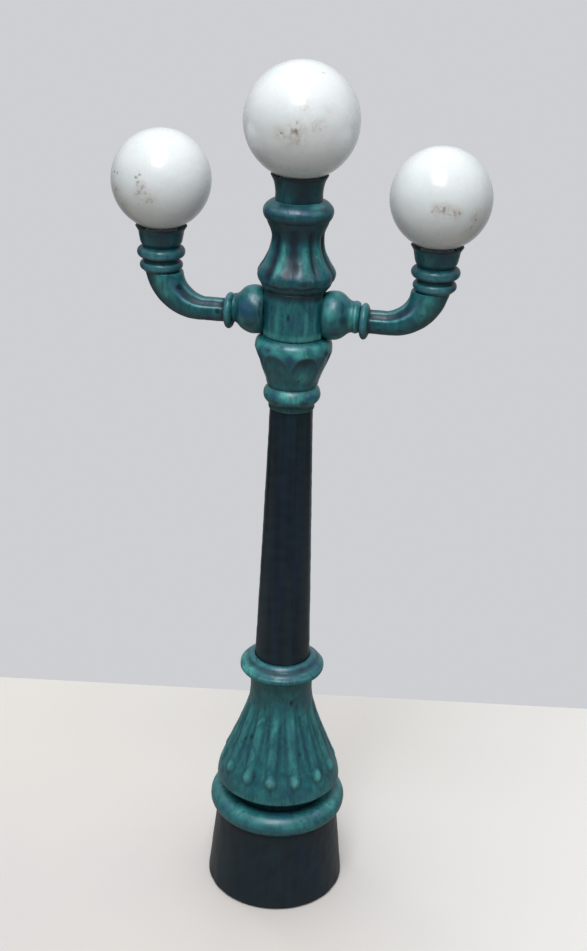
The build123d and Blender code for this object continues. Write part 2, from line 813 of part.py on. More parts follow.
def make_boss(direction):
    """The ball-shaped boss between the hub and an arm's flange."""
    with BuildPart() as boss:
        with BuildSketch(Plane.XZ):
            with BuildLine():
                Spline(
                    (HUB_FLAT_X, BOSS_Z + BOSS_FACE_R),
                    (16.0, BOSS_Z + 10.7),
                    (19.6, BOSS_Z + BOSS_R),
                    (23.0, BOSS_Z + 9.6),
                    (25.6, BOSS_Z + 6.7),
                    (FLANGE_X - FLANGE_T / 2, BOSS_Z + BOSS_NECK_R),
                )
                Polyline(
                    (FLANGE_X - FLANGE_T / 2, BOSS_Z + BOSS_NECK_R),
                    (FLANGE_X - FLANGE_T / 2, BOSS_Z),
                    (HUB_FLAT_X, BOSS_Z),
                    (HUB_FLAT_X, BOSS_Z + BOSS_FACE_R),
                )
            make_face()
        revolve(axis=Axis((0, 0, BOSS_Z), (1, 0, 0)))
        with BuildSketch(Plane.YZ.offset(HUB_FLAT_X - 1.0)):
            with Locations((0, ARM_Z)):
                Circle(NIPPLE_R + FIT)
        extrude(amount=20.0, mode=Mode.SUBTRACT)
        if direction < 0:
            mirror(about=Plane.YZ, mode=Mode.REPLACE)
    return boss


def make_arm(direction):
    """A flanged arm: a straight run, a widening elbow and the spigot for its collar."""
    with BuildPart() as arm:
        for x, z, heading, radius in arm_stations():
            forward = Vector(1, 0, 0).rotate(Axis.Y, -heading)
            with BuildSketch(Plane((x, 0, z), x_dir=(0, 1, 0), z_dir=forward)):
                Circle(radius)
        loft()
        with Locations((ARM_X, 0, ARM_END_Z)):
            Box(40, 40, 20, align=(Align.CENTER, Align.CENTER, Align.MIN), mode=Mode.SUBTRACT)
        # flange
        with BuildSketch(Plane.XZ):
            with BuildLine():
                ThreePointArc(
                    (FLANGE_X - FLANGE_T / 2, ARM_Z + FLANGE_EDGE_R),
                    (FLANGE_X, ARM_Z + FLANGE_R),
                    (FLANGE_X + FLANGE_T / 2, ARM_Z + FLANGE_EDGE_R),
                )
                Polyline(
                    (FLANGE_X + FLANGE_T / 2, ARM_Z + FLANGE_EDGE_R),
                    (FLANGE_X + FLANGE_T / 2, ARM_Z),
                    (FLANGE_X - FLANGE_T / 2, ARM_Z),
                    (FLANGE_X - FLANGE_T / 2, ARM_Z + FLANGE_EDGE_R),
                )
            make_face()
        revolve(axis=Axis((0, 0, ARM_Z), (1, 0, 0)))
        # spigot that the collar sits on
        with BuildSketch(Plane.XY.offset(ARM_END_Z - 2.0)):
            with Locations((ARM_X, 0)):
                Circle(SPIGOT_R)
        extrude(amount=SPIGOT_TOP_Z - ARM_END_Z + 2.0)
        # bore for the wires, wider where the nipple screws in
        with BuildLine() as bore_path:
            FilletPolyline(
                (FLANGE_X - 5.0, 0, ARM_Z),
                (ARM_CORNER_X, 0, ARM_Z),
                (ARM_X, 0, ARM_LEAN_Z),
                radius=ARM_BEND_R,
            )
        with BuildSketch(Plane((FLANGE_X - 5.0, 0, ARM_Z), z_dir=(1, 0, 0))):
            Circle(ARM_BORE_R)
        sweep(path=bore_path.wires()[0], mode=Mode.SUBTRACT)
        with BuildSketch(Plane.YZ.offset(FLANGE_X - 5.0)):
            with Locations((0, ARM_Z)):
                Circle(NIPPLE_R + FIT)
        extrude(amount=12.0, mode=Mode.SUBTRACT)
        with BuildSketch(Plane.XY.offset(ARM_END_Z - 2.5)):
            with Locations((ARM_X, 0)):
                Circle(STEM_R + FIT)
        extrude(amount=SPIGOT_TOP_Z - ARM_END_Z + 3.0, mode=Mode.SUBTRACT)
        if direction < 0:
            mirror(about=Plane.YZ, mode=Mode.REPLACE)
    return arm


def make_nipple(direction):
    """The hollow threaded tube that joins hub, boss and arm."""
    with BuildPart() as nipple:
        with BuildSketch(Plane.YZ.offset(NIPPLE_IN_X)):
            with Locations((0, ARM_Z)):
                Circle(NIPPLE_R)
                Circle(NIPPLE_BORE_R, mode=Mode.SUBTRACT)
        extrude(amount=FLANGE_X + 6.0 - NIPPLE_IN_X)
        if direction < 0:
            mirror(about=Plane.YZ, mode=Mode.REPLACE)
    return nipple


def make_collar(direction):
    """The double ring on an arm's end."""
    with BuildPart() as collar:
        with BuildSketch(Plane.XZ):
            with BuildLine():
                Line((COLLAR_FOOT_R, ARM_END_Z), (8.2, 320.2))
                ThreePointArc((8.2, 320.2), (LOW_RING_R, LOW_RING_Z), (8.0, 324.6))
                ThreePointArc((8.0, 324.6), (7.8, 325.1), (8.1, 325.6))
                ThreePointArc((8.1, 325.6), (HIGH_RING_R, HIGH_RING_Z), (SIDE_CUP_FOOT_R, SIDE_CUP_Z))
                Polyline(
                    (SIDE_CUP_FOOT_R, SIDE_CUP_Z),
                    (STEM_R + FIT, SIDE_CUP_Z),
                    (STEM_R + FIT, SPIGOT_TOP_Z + FIT),
                    (SPIGOT_R + FIT, SPIGOT_TOP_Z + FIT),
                    (SPIGOT_R + FIT, ARM_END_Z),
                    (COLLAR_FOOT_R, ARM_END_Z),
                )
            make_face()
        revolve(axis=Axis.Z)
    collar.part.position = (direction * ARM_X, 0, 0)
    return collar


def make_side_cup(direction):
    """The flared cup that a side globe stands in."""
    with BuildPart() as cup:
        with BuildSketch(Plane.XZ):
            with BuildLine():
                Spline(
                    (SIDE_CUP_FOOT_R, SIDE_CUP_Z),
                    (9.4, 332.8),
                    (10.1, 336.6),
                    (SIDE_RIM_R, SIDE_RIM_Z),
                )
                Line((SIDE_RIM_R, SIDE_RIM_Z), (SIDE_RIM_R - RIM_WALL, SIDE_RIM_Z))
                Spline((SIDE_RIM_R - RIM_WALL, SIDE_RIM_Z), (9.2, 337.4), (7.9, 335.2))
                Polyline(
                    (7.9, 335.2),
                    (7.7, SIDE_FLOOR_Z),
                    (STEM_R + FIT, SIDE_FLOOR_Z),
                    (STEM_R + FIT, SIDE_CUP_Z),
                    (SIDE_CUP_FOOT_R, SIDE_CUP_Z),
                )
            make_face()
        revolve(axis=Axis.Z)
    cup.part.position = (direction * ARM_X, 0, 0)
    return cup


for side, direction in sides():
    save(make_boss(direction), f"arm_boss_{side}")
    save(make_arm(direction), f"arm_{side}")
    save(make_nipple(direction), f"arm_nipple_{side}")
    save(make_collar(direction), f"arm_collar_{side}")
    save(make_side_cup(direction), f"globe_cup_{side}")

with BuildPart() as arm_nipple_nuts:
    for direction in (-1, 1):
        with BuildSketch(Plane.YZ.offset(direction * NIPPLE_NUT_X)):
            with Locations((0, ARM_Z)):
                RegularPolygon(NIPPLE_NUT_FLATS / 2, 6, major_radius=False)
                Circle(NIPPLE_R + FIT, mode=Mode.SUBTRACT)
        extrude(amount=-direction * NIPPLE_NUT_T)
save(arm_nipple_nuts, "arm_nipple_nuts")

# ---- Globes -------------------------------------------------------------------------------


def make_globe(x, radius, centre_z, neck_r, neck_z):
    """A hollow globe with a short neck that stands in its cup."""
    inner_r = radius - GLOBE_WALL
    bore_r = neck_r - NECK_WALL
    outer_join = centre_z - (radius**2 - neck_r**2) ** 0.5
    inner_join = centre_z - (inner_r**2 - bore_r**2) ** 0.5
    with BuildPart() as globe:
        with BuildSketch(Plane.XZ):
            with BuildLine():
                ThreePointArc((0, centre_z + radius), (radius, centre_z), (neck_r, outer_join))
                Polyline((neck_r, outer_join), (neck_r, neck_z), (bore_r, neck_z), (bore_r, inner_join))
                ThreePointArc((bore_r, inner_join), (inner_r, centre_z), (0, centre_z + inner_r))
                Line((0, centre_z + inner_r), (0, centre_z + radius))
            make_face()
        revolve(axis=Axis.Z)
    globe.part.position = (x, 0, 0)
    return globe


side_neck_z = SIDE_FLOOR_Z + GASKET_T + LIFT_GAP
save(make_globe(-ARM_X, SIDE_GLOBE_R, SIDE_GLOBE_Z, SIDE_NECK_R, side_neck_z), "globe_left")
save(make_globe(ARM_X, SIDE_GLOBE_R, SIDE_GLOBE_Z, SIDE_NECK_R, side_neck_z), "globe_right")
save(
    make_globe(0, CENTRE_GLOBE_R, CENTRE_GLOBE_Z, CENTRE_NECK_R, CUP_FLOOR_Z + GASKET_T + LIFT_GAP),
    "globe_centre",
)

with BuildPart() as globe_gaskets:
    for name, x, floor_z, _ in lamps():
        neck_r = CENTRE_NECK_R if name == "centre" else SIDE_NECK_R
        with BuildSketch(Plane.XY.offset(floor_z)):
            with Locations((x, 0)):
                Circle(neck_r + 0.2)
                Circle(neck_r - NECK_WALL, mode=Mode.SUBTRACT)
        extrude(amount=GASKET_T)
save(globe_gaskets, "globe_gaskets")

# ---- Lamp holders and bulbs ---------------------------------------------------------------


def make_holder(x, base_z, stem):
    """A screw lamp holder; the side ones have a stem that clamps cup and collar to the arm."""
    with BuildPart() as holder:
        with BuildSketch(Plane.XY.offset(base_z)):
            Circle(HOLDER_R)
            Circle(STEM_BORE_R, mode=Mode.SUBTRACT)
        extrude(amount=HOLDER_H)
        with BuildSketch(Plane.XY.offset(base_z + HOLDER_FLOOR)):
            Circle(BULB_BASE_R + FIT)
        extrude(amount=HOLDER_H - HOLDER_FLOOR, mode=Mode.SUBTRACT)
        if stem:
            with BuildSketch(Plane.XY.offset(base_z)):
                Circle(STEM_R)
                Circle(STEM_BORE_R, mode=Mode.SUBTRACT)
            extrude(amount=-(base_z - ARM_END_Z - 0.4))
    holder.part.position = (x, 0, 0)
    return holder


def make_bulb_base(x, base_z):
    """The bulb's screw shell, with a rolled thread, and its solder tip."""
    low = base_z + HOLDER_FLOOR + 0.3
    height = HOLDER_H - HOLDER_FLOOR + 0.6
    with BuildPart() as shell:
        with BuildSketch(Plane.XY.offset(low + BULB_TIP_H)):
            Circle(BULB_BASE_R)
        extrude(amount=height - BULB_TIP_H)
        with BuildSketch(Plane.XY.offset(low)):
            Circle(BULB_TIP_R)
        extrude(amount=BULB_TIP_H)
        for turn in range(4):
            with BuildSketch(Plane.XY.offset(low + BULB_TIP_H + 0.8 + THREAD_PITCH * turn)):
                Circle(BULB_BASE_R + 0.1)
                Circle(BULB_BASE_R - 0.3, mode=Mode.SUBTRACT)
            extrude(amount=0.5, mode=Mode.SUBTRACT)
    shell.part.position = (x, 0, 0)
    return shell


def make_bulb_glass(x, base_z):
    """The bulb's round glass, standing in the screw shell."""
    low = base_z + HOLDER_H + 0.9
    neck_r = BULB_BASE_R - 0.4
    ball_z = low + BULB_GLASS_H - BULB_GLASS_R
    with BuildPart() as glass:
        with BuildSketch(Plane.XZ):
            with BuildLine():
                Line((0, low), (neck_r, low))
                Spline(
                    (neck_r, low),
                    (neck_r + 0.1, low + 3.0),
                    (BULB_GLASS_R, ball_z),
                    tangents=((0, 1), (0, 1)),
                )
                RadiusArc((BULB_GLASS_R, ball_z), (0, ball_z + BULB_GLASS_R), -BULB_GLASS_R)
                Line((0, ball_z + BULB_GLASS_R), (0, low))
            make_face()
        revolve(axis=Axis.Z)
    glass.part.position = (x, 0, 0)
    return glass


for name, x, floor_z, holder_z in lamps():
    save(make_holder(x, holder_z, stem=name != "centre"), f"lamp_holder_{name}")
    save(make_bulb_base(x, holder_z), f"bulb_base_{name}")
    save(make_bulb_glass(x, holder_z), f"bulb_glass_{name}")

# ---- Wires --------------------------------------------------------------------------------

WIRE_LOW_Z = TRAY_TOP_Z + 0.3


def make_side_wire(direction):
    """From the tray up the tie rod, out through the hub and along the arm to its lamp."""
    with BuildPart() as wire:
        with BuildLine() as route:
            FilletPolyline(
                (WIRE_OFFSET, 0, WIRE_LOW_Z),
                (WIRE_OFFSET, 0, ARM_Z),
                (ARM_CORNER_X, 0, ARM_Z),
                (ARM_X, 0, ARM_END_Z - 1.0),
                (ARM_X, 0, SIDE_FLOOR_Z + HOLDER_FLOOR - 0.3),
                radius=(5.0, 18.0, 5.0),
            )
        with BuildSketch(Plane((WIRE_OFFSET, 0, WIRE_LOW_Z))):
            Circle(WIRE_R)
        sweep(path=route.wires()[0])
        if direction < 0:
            mirror(about=Plane.YZ, mode=Mode.REPLACE)
    return wire


for side, direction in sides():
    save(make_side_wire(direction), f"wire_{side}")

with BuildPart() as wire_centre:
    with BuildSketch(Plane.XY.offset(WIRE_LOW_Z)):
        Circle(WIRE_R)
    extrude(amount=ROD_TOP_Z + FIT + HOLDER_FLOOR - 0.3 - WIRE_LOW_Z)
save(wire_centre, "wire_centre")
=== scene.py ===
"""Looks of the table-top lamp post: every visible casting is rebuilt as a fine mesh around the frame."""

import math

import bmesh
import bpy
import numpy as np
from mathutils import Matrix, Vector


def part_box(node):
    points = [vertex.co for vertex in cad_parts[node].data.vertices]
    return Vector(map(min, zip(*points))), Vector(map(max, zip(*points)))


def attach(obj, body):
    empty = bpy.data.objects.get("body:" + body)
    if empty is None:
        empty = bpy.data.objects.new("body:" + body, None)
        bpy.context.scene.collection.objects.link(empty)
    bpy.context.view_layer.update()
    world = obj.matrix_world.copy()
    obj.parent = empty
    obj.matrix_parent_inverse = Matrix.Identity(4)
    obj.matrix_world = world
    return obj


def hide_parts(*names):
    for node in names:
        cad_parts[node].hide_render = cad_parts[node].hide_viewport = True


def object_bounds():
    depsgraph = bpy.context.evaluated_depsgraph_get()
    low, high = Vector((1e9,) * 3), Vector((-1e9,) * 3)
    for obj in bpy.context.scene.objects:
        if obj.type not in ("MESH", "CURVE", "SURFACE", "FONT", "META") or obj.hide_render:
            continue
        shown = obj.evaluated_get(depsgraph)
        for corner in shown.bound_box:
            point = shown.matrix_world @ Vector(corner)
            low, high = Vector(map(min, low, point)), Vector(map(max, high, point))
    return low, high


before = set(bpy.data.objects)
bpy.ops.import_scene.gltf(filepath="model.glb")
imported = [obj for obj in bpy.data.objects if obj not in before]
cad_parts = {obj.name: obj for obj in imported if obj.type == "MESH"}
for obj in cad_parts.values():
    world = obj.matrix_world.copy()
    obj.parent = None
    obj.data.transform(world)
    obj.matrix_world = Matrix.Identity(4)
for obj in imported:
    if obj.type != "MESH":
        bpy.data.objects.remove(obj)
CAD_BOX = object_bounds()

MM = 0.001
SIDES = (("left", -1), ("right", 1))
STEP = 0.45             # mm between mesh rows on a fine skin
ROD_BORE = 5.0          # mm: radius of the hole for the tie rod
NIPPLE_BORE = 2.7       # mm: radius of the hole for a side lamp's nipple


# ---- Colours ----

def srgb(red, green, blue):
    """A display colour, 0 to 255, as the linear colour that shaders take."""
    def linear(value):
        value /= 255
        return value / 12.92 if value <= 0.04045 else ((value + 0.055) / 1.055) ** 2.4
    return (linear(red), linear(green), linear(blue), 1.0)


# ---- Node helpers ----

class Nodes:
    """A node tree under construction: most methods add a node and return its output."""

    def __init__(self, owner):
        owner.use_nodes = True
        self.tree = owner.node_tree

    def add(self, kind, **settings):
        node = self.tree.nodes.new(kind)
        for name, value in settings.items():
            setattr(node, name, value)
        return node

    def feed(self, socket, value):
        if isinstance(value, bpy.types.NodeSocket):
            self.tree.links.new(value, socket)
        else:
            socket.default_value = value

    def span(self, value, low, high, to_low=0.0, to_high=1.0):
        """Remap a value, held inside its new range."""
        node = self.add("ShaderNodeMapRange")
        self.feed(node.inputs["Value"], value)
        for name, number in zip(("From Min", "From Max", "To Min", "To Max"), (low, high, to_low, to_high)):
            node.inputs[name].default_value = number
        return node.outputs["Result"]

    def math(self, operation, first, second):
        node = self.add("ShaderNodeMath", operation=operation)
        self.feed(node.inputs[0], first)
        self.feed(node.inputs[1], second)
        return node.outputs["Value"]

    def vector(self, operation, *values, output="Vector"):
        node = self.add("ShaderNodeVectorMath", operation=operation)
        for socket, value in zip(node.inputs, values):
            self.feed(socket, value)
        return node.outputs[output]

    def mix(self, factor, first, second):
        node = self.add("ShaderNodeMix", data_type="RGBA")
        self.feed(node.inputs["Factor"], factor)
        self.feed(node.inputs[6], first)
        self.feed(node.inputs[7], second)
        return node.outputs[2]


class Finish(Nodes):
    """A material under construction, from a plain shader with some of its sockets set."""

    def __init__(self, name, **sockets):
        self.material = bpy.data.materials.new(name)
        super().__init__(self.material)
        self.shader = self.tree.nodes["Principled BSDF"]
        self.place = self.add("ShaderNodeTexCoord").outputs["Object"]
        for socket, value in sockets.items():
            self.shader.inputs[socket.replace("_", " ")].default_value = value

    def stretched(self, x, y, z, moved=(0, 0, 0)):
        """Object coordinates scaled per axis, so that a pattern runs lengthwise."""
        node = self.add("ShaderNodeMapping")
        self.feed(node.inputs["Vector"], self.place)
        node.inputs["Scale"].default_value = (x, y, z)
        node.inputs["Location"].default_value = moved
        return node.outputs["Vector"]

    def noise(self, scale, detail=3.0, rough=0.55, vector=None, warp=0.0):
        node = self.add("ShaderNodeTexNoise")
        self.feed(node.inputs["Vector"], vector or self.place)
        node.inputs["Scale"].default_value = scale
        node.inputs["Detail"].default_value = detail
        node.inputs["Roughness"].default_value = rough
        node.inputs["Distortion"].default_value = warp
        return node.outputs["Fac"]

    def attribute(self, name):
        return self.add("ShaderNodeAttribute", attribute_name=name).outputs["Fac"]

    def bump(self, height, distance, strength=1.0, under=None):
        node = self.add("ShaderNodeBump")
        node.inputs["Distance"].default_value = distance
        node.inputs["Strength"].default_value = strength
        self.feed(node.inputs["Height"], height)
        if under:
            self.feed(node.inputs["Normal"], under)
        return node.outputs["Normal"]

    def done(self, color=None, rough=None, normal=None):
        for name, value in (("Base Color", color), ("Roughness", rough), ("Normal", normal)):
            if value is not None:
                self.feed(self.shader.inputs[name], value)
        return self.material


# ---- Finishes ----

def verdigris():
    """Teal paint wiped over a dark ground: dark in the hollows, pale on what stands proud. Painted highlights
    and painted shade are laid on too, where each piece's mesh asks for them.
    """
    f = Finish("verdigris_paint", IOR=1.55)
    patches = f.noise(75, 4, 0.6, warp=0.6)
    clouds = f.noise(200, 4, 0.65, f.stretched(1, 1, 0.5), 1.0)
    brushed = f.noise(420, 3, 0.7, f.stretched(1, 1, 0.16), 0.4)
    blues = f.noise(85, 3, 0.5, f.stretched(1, 1, 0.8, (0.31, 0.17, 0.05)), 0.8)
    grit = f.noise(1500, 2, 0.6)
    broken = f.span(clouds, 0.34, 0.58, 0.25, 1.0)

    def painted(name, strength, color, tint, texture=broken):
        """Lay one paint over another where a piece's mesh asks for it, broken up by a texture."""
        amount = f.math("MULTIPLY", f.attribute(name), texture)
        return f.mix(f.math("MULTIPLY", amount, strength), color, tint)

    color = f.mix(f.span(patches, 0.36, 0.64), srgb(17, 76, 87), srgb(27, 105, 112))
    color = f.mix(f.span(clouds, 0.44, 0.70, 0, 0.65), color, srgb(43, 126, 128))
    color = f.mix(f.span(blues, 0.52, 0.66, 0, 0.50), color, srgb(28, 76, 102))
    color = f.mix(f.span(brushed, 0.46, 0.70, 0, 0.42), color, srgb(10, 48, 56))
    color = painted("proud", 0.35, color, srgb(72, 150, 150))
    # Paint gone pale where it is scuffed thin, together with painted highlights on faces that turn up or
    # towards the front.
    color = painted("rubbed", 0.90, color, srgb(84, 176, 170))
    color = painted("blued", 0.85, color, srgb(30, 76, 108), f.span(clouds, 0.30, 0.50, 0.5, 1.0))
    # Painted highlight: a pale blue-white reflection of the lamps, laid into the colour.
    color = painted("paled", 0.85, color, srgb(122, 158, 182))
    color = f.mix(f.span(f.attribute("hollow"), 0.05, 0.95, 0, 0.72), color, srgb(7, 28, 38))
    flecks = f.span(f.noise(310, 2, 0.5, f.stretched(1, 1, 0.55, (0.9, 0.4, 0.2))), 0.68, 0.76, 0, 0.75)
    color = f.mix(flecks, color, srgb(10, 30, 42))
    # Real dark stains and chips, together with painted shade under ledges, inside the cups and where parts
    # meet.
    color = f.mix(f.attribute("stained"), color, srgb(8, 30, 44))

    rough = f.span(clouds, 0.3, 0.7, 0.26, 0.42)
    rough = f.math("ADD", rough, f.span(f.attribute("hollow"), 0.1, 0.8, 0, 0.18))
    rough = f.math("ADD", rough, f.span(f.attribute("stained"), 0.1, 0.9, 0, 0.13))
    uneven = f.bump(f.noise(150, 3, 0.5), 0.0005, 0.32)
    strokes = f.bump(brushed, 0.00012, 0.45, uneven)
    return f.done(color, rough, f.bump(grit, 0.00004, 0.5, strokes))


def dark_paint():
    """Blue-black satin paint with faint upright brush marks."""
    f = Finish("dark_paint", IOR=1.42)
    tall = f.stretched(1, 1, 0.035)
    strokes = f.noise(330, 4, 0.65, tall, 0.3)
    broad = f.noise(85, 3, 0.55, f.stretched(1, 1, 0.12, (0.2, 0.7, 0.1)), 0.5)
    patch = f.noise(48, 4, 0.6)
    color = f.mix(f.span(strokes, 0.38, 0.66), srgb(7, 25, 34), srgb(15, 42, 53))
    color = f.mix(f.span(broad, 0.50, 0.68, 0, 0.55), color, srgb(12, 36, 63))
    color = f.mix(f.span(patch, 0.52, 0.70, 0, 0.45), color, srgb(9, 46, 49))
    color = f.mix(f.span(f.attribute("proud"), 0.35, 1.0, 0, 0.5), color, srgb(44, 56, 63))
    rough = f.span(strokes, 0.3, 0.7, 0.27, 0.42)
    uneven = f.bump(broad, 0.0004, 0.25)
    brushed = f.bump(strokes, 0.00010, 0.5, uneven)
    return f.done(color, rough, f.bump(f.noise(1400, 2), 0.00003, 0.5, brushed))


def opal_glass(name, centre, scuffs, chips):
    """Glossy white glass with brown scuffs and small dark chips."""
    f = Finish(name, IOR=1.5, Coat_Weight=0.5, Coat_Roughness=0.17, Subsurface_Weight=0.12,
               Subsurface_Scale=0.004)
    outward = f.vector("NORMALIZE", f.vector("SUBTRACT", f.place, centre))
    ragged = f.add("ShaderNodeTexNoise")
    f.feed(ragged.inputs["Vector"], f.place)
    ragged.inputs["Scale"].default_value = 620
    shake = 0.09            # how far noise shifts a point at most; half of it, the mean, is put back below
    fade = 0.8              # share of a mark's reach over which it fades
    shaken = f.vector("MULTIPLY_ADD", ragged.outputs["Color"], (shake, shake, shake), outward)

    def marked(marks, wider):
        """How strongly any of the marks covers a point, with each mark's spread made wider."""
        total = None
        for azimuth, elevation, spread, strength in marks:
            a, e = math.radians(azimuth), math.radians(elevation)
            reach = math.radians(spread * wider)
            middle = [part + shake / 2 for part in (math.sin(a) * math.cos(e), -math.cos(a) * math.cos(e),
                                                    math.sin(e))]
            away = f.vector("DISTANCE", shaken, middle, output="Value")
            near = f.span(away, reach, reach * (1 - fade), 0, strength)
            total = near if total is None else f.math("MAXIMUM", total, near)
        return total

    def laid(amount, strength, color, tint):
        return f.mix(f.math("MULTIPLY", amount, strength), color, tint)

    speckle = f.span(f.noise(430, 3, 0.65), 0.51, 0.62)
    smear = f.span(f.noise(240, 4, 0.7, warp=1.0), 0.40, 0.66, 0.15, 1)
    tint = f.mix(f.span(f.noise(28, 3), 0.4, 0.7), srgb(246, 248, 247), srgb(234, 238, 236))
    smudges = f.math("MULTIPLY", marked(scuffs, 2.0), smear)
    grains = f.math("MULTIPLY", marked(scuffs, 1.0), speckle)
    color = laid(smudges, 0.70, tint, srgb(188, 172, 152))
    color = laid(grains, 0.60, color, srgb(126, 104, 88))
    color = laid(marked(chips, 1.15), 0.9, color, srgb(98, 84, 74))
    pores = f.span(f.noise(900, 2, 0.5), 0.70, 0.78)
    color = laid(pores, 0.22, color, srgb(150, 146, 140))
    rough = f.span(f.noise(120, 3), 0.3, 0.7, 0.20, 0.32)
    return f.done(color, rough, f.bump(f.noise(210, 3, 0.5), 0.0005, 0.26))


def brushed_metal(name, dark, light, rough_low, rough_high, grain=(1, 1, 0.1)):
    f = Finish(name, Metallic=1.0)
    scratches = f.noise(900, 4, 0.7, f.stretched(*grain))
    cloud = f.noise(120, 3, 0.6)
    color = f.mix(f.span(cloud, 0.35, 0.65), dark, light)
    color = f.mix(f.span(scratches, 0.4, 0.7, 0, 0.35), color, dark)
    tarnish = f.span(f.noise(260, 4, 0.7), 0.58, 0.72, 0, 0.45)
    color = f.mix(tarnish, color, srgb(90, 78, 60))
    rough = f.span(scratches, 0.3, 0.7, rough_low, rough_high)
    return f.done(color, rough, f.bump(scratches, 0.00005, 0.5))


def moulded(name, dark, light, rough_low, rough_high, scale=1600, depth=0.00004, **sockets):
    """Plastic, rubber, iron or a sleeve: a fine grain over slow changes of tone."""
    f = Finish(name, **sockets)
    grain = f.noise(scale, 3, 0.6)
    slow = f.noise(70, 3, 0.55)
    dust = f.span(f.noise(380, 4, 0.7), 0.60, 0.74, 0, 0.4)
    color = f.mix(f.span(slow, 0.35, 0.65), dark, light)
    color = f.mix(dust, color, light)
    rough = f.span(grain, 0.3, 0.7, rough_low, rough_high)
    return f.done(color, rough, f.bump(grain, depth, 0.6))


def clear_glass():
    f = Finish("clear_glass", Transmission_Weight=1.0, IOR=1.45)
    haze = f.noise(260, 3)
    color = f.mix(f.span(haze, 0.3, 0.7), srgb(238, 242, 240), srgb(250, 251, 250))
    return f.done(color, f.span(haze, 0.3, 0.7, 0.02, 0.07), f.bump(f.noise(140), 0.0002, 0.2))


def filament_wire():
    f = Finish("filament_wire", Metallic=1.0)
    grain = f.noise(2400, 2)
    return f.done(f.mix(f.span(grain, 0.4, 0.6), srgb(90, 88, 86), srgb(150, 146, 140)),
                  f.span(grain, 0.3, 0.7, 0.3, 0.5), f.bump(grain, 0.00002, 0.5))


FINISHES = {
    "verdigris_paint": verdigris(),
    "dark_paint": dark_paint(),
    "clear_glass": clear_glass(),
    "brass": brushed_metal("brass", srgb(150, 116, 58), srgb(206, 170, 98), 0.25, 0.42),
    "steel": brushed_metal("steel", srgb(138, 140, 142), srgb(186, 188, 190), 0.28, 0.45, (0.1, 1, 1)),
    "black_plastic": moulded("black_plastic", srgb(22, 22, 24), srgb(44, 44, 47), 0.42, 0.62, IOR=1.46),
    "rubber": moulded("rubber", srgb(20, 20, 20), srgb(44, 43, 42), 0.72, 0.92, 2200, 0.00005),
    "cast_iron": moulded("cast_iron", srgb(44, 43, 43), srgb(78, 74, 70), 0.5, 0.75, 620, 0.00025,
                         Metallic=0.7),
    "cell_sleeve": moulded("cell_sleeve", srgb(58, 66, 74), srgb(84, 92, 98), 0.22, 0.36, 900, 0.00002),
    "wire_insulation": moulded("wire_insulation", srgb(128, 20, 18), srgb(168, 34, 28), 0.38, 0.55),
}


# ---- Outlines ----
# Outlines are in mm: radius and height above the node's foot.

def line(points, step=STEP):
    """Straight runs through the points, cut into short steps."""
    points = np.asarray(points, float)
    out = [points[0]]
    for a, b in zip(points[:-1], points[1:]):
        count = max(1, math.ceil(np.linalg.norm(b - a) / step))
        out += [a + (b - a) * k / count for k in range(1, count + 1)]
    return np.array(out)


def curve(points, step):
    """A smooth line through the points, in short steps."""
    p = np.asarray(points, float)
    p = np.vstack([2 * p[0] - p[1], p, 2 * p[-1] - p[-2]])
    out = [p[1]]
    for k in range(1, len(p) - 2):
        a, b, c, d = p[k - 1:k + 3]
        count = max(2, math.ceil(np.linalg.norm(c - b) / step))
        for t in np.arange(1, count + 1) / count:
            out.append(0.5 * (2 * b + (c - a) * t + (2 * a - 5 * b + 4 * c - d) * t ** 2
                              + (3 * b - a - 3 * c + d) * t ** 3))
    return np.array(out)


def arc(centre, radius, start, end, step=STEP):
    """Part of a circle, with angles in degrees from the outward direction."""
    count = max(4, math.ceil(abs(math.radians(end - start)) * radius / step))
    angles = np.radians(np.linspace(start, end, count + 1))
    return np.stack([centre[0] + radius * np.cos(angles), centre[1] + radius * np.sin(angles)], 1)


def joined(*stretches, soften=2):
    """One line from several, with its corners a little rounded, as thick paint leaves them."""
    out = [stretches[0]]
    for stretch in stretches[1:]:
        skip = 1 if np.allclose(out[-1][-1], stretch[0], atol=1e-6) else 0
        out.append(stretch[skip:])
    points = np.vstack(out)
    for _ in range(soften):
        points[1:-1] = (points[:-2] + 2 * points[1:-1] + points[2:]) / 4
    return points


def measure(node):
    """How far a node reaches along X from the post's axis, and its height, in mm."""
    low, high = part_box(node)
    return high.x / MM, (high.z - low.z) / MM


# ---- Shapes of relief and of paint ----

def smooth(edge0, edge1, value):
    """0 before edge0, 1 after edge1 and a smooth rise between them."""
    t = np.clip((value - edge0) / (edge1 - edge0), 0, 1)
    return t * t * (3 - 2 * t)


def between(value, rise0, rise1, fall0, fall1):
    """A smooth rise from 0 to 1 and then a smooth fall back to 0."""
    return smooth(rise0, rise1, value) * (1 - smooth(fall0, fall1, value))


def hump(value, wide, power=2):
    """1 at zero, falling away on both sides; a higher power makes its top flatter."""
    return np.exp(-(np.abs(value) / wide) ** power)


def off_axis(rows):
    """Distance of each point from the post's axis, in mm."""
    return np.hypot(rows[..., 0], rows[..., 1])


def unevenness(points, amount, seed):
    """Slow random swells of a hand-finished casting, in mm, from a few crossing waves."""
    rng = np.random.default_rng(seed)
    waves = 9
    swell = np.zeros(points.shape[:-1])
    for _ in range(waves):
        direction = rng.normal(size=3)
        direction /= np.linalg.norm(direction)
        wave = 2 * math.pi / rng.uniform(4.0, 15.0)
        swell += np.sin(points @ direction * wave + rng.uniform(0, 2 * math.pi))
    return swell * amount / waves * 2


def spots(rows, marks):
    """Patches on any piece: a place in mm, the half sizes and a strength."""
    value = np.zeros(rows.shape[:-1])
    for centre, size, strength in marks:
        away = np.linalg.norm((rows - np.array(centre)) / np.array(size), axis=-1)
        value = np.maximum(value, strength * (1 - smooth(0.45, 1.15, away)))
    return value


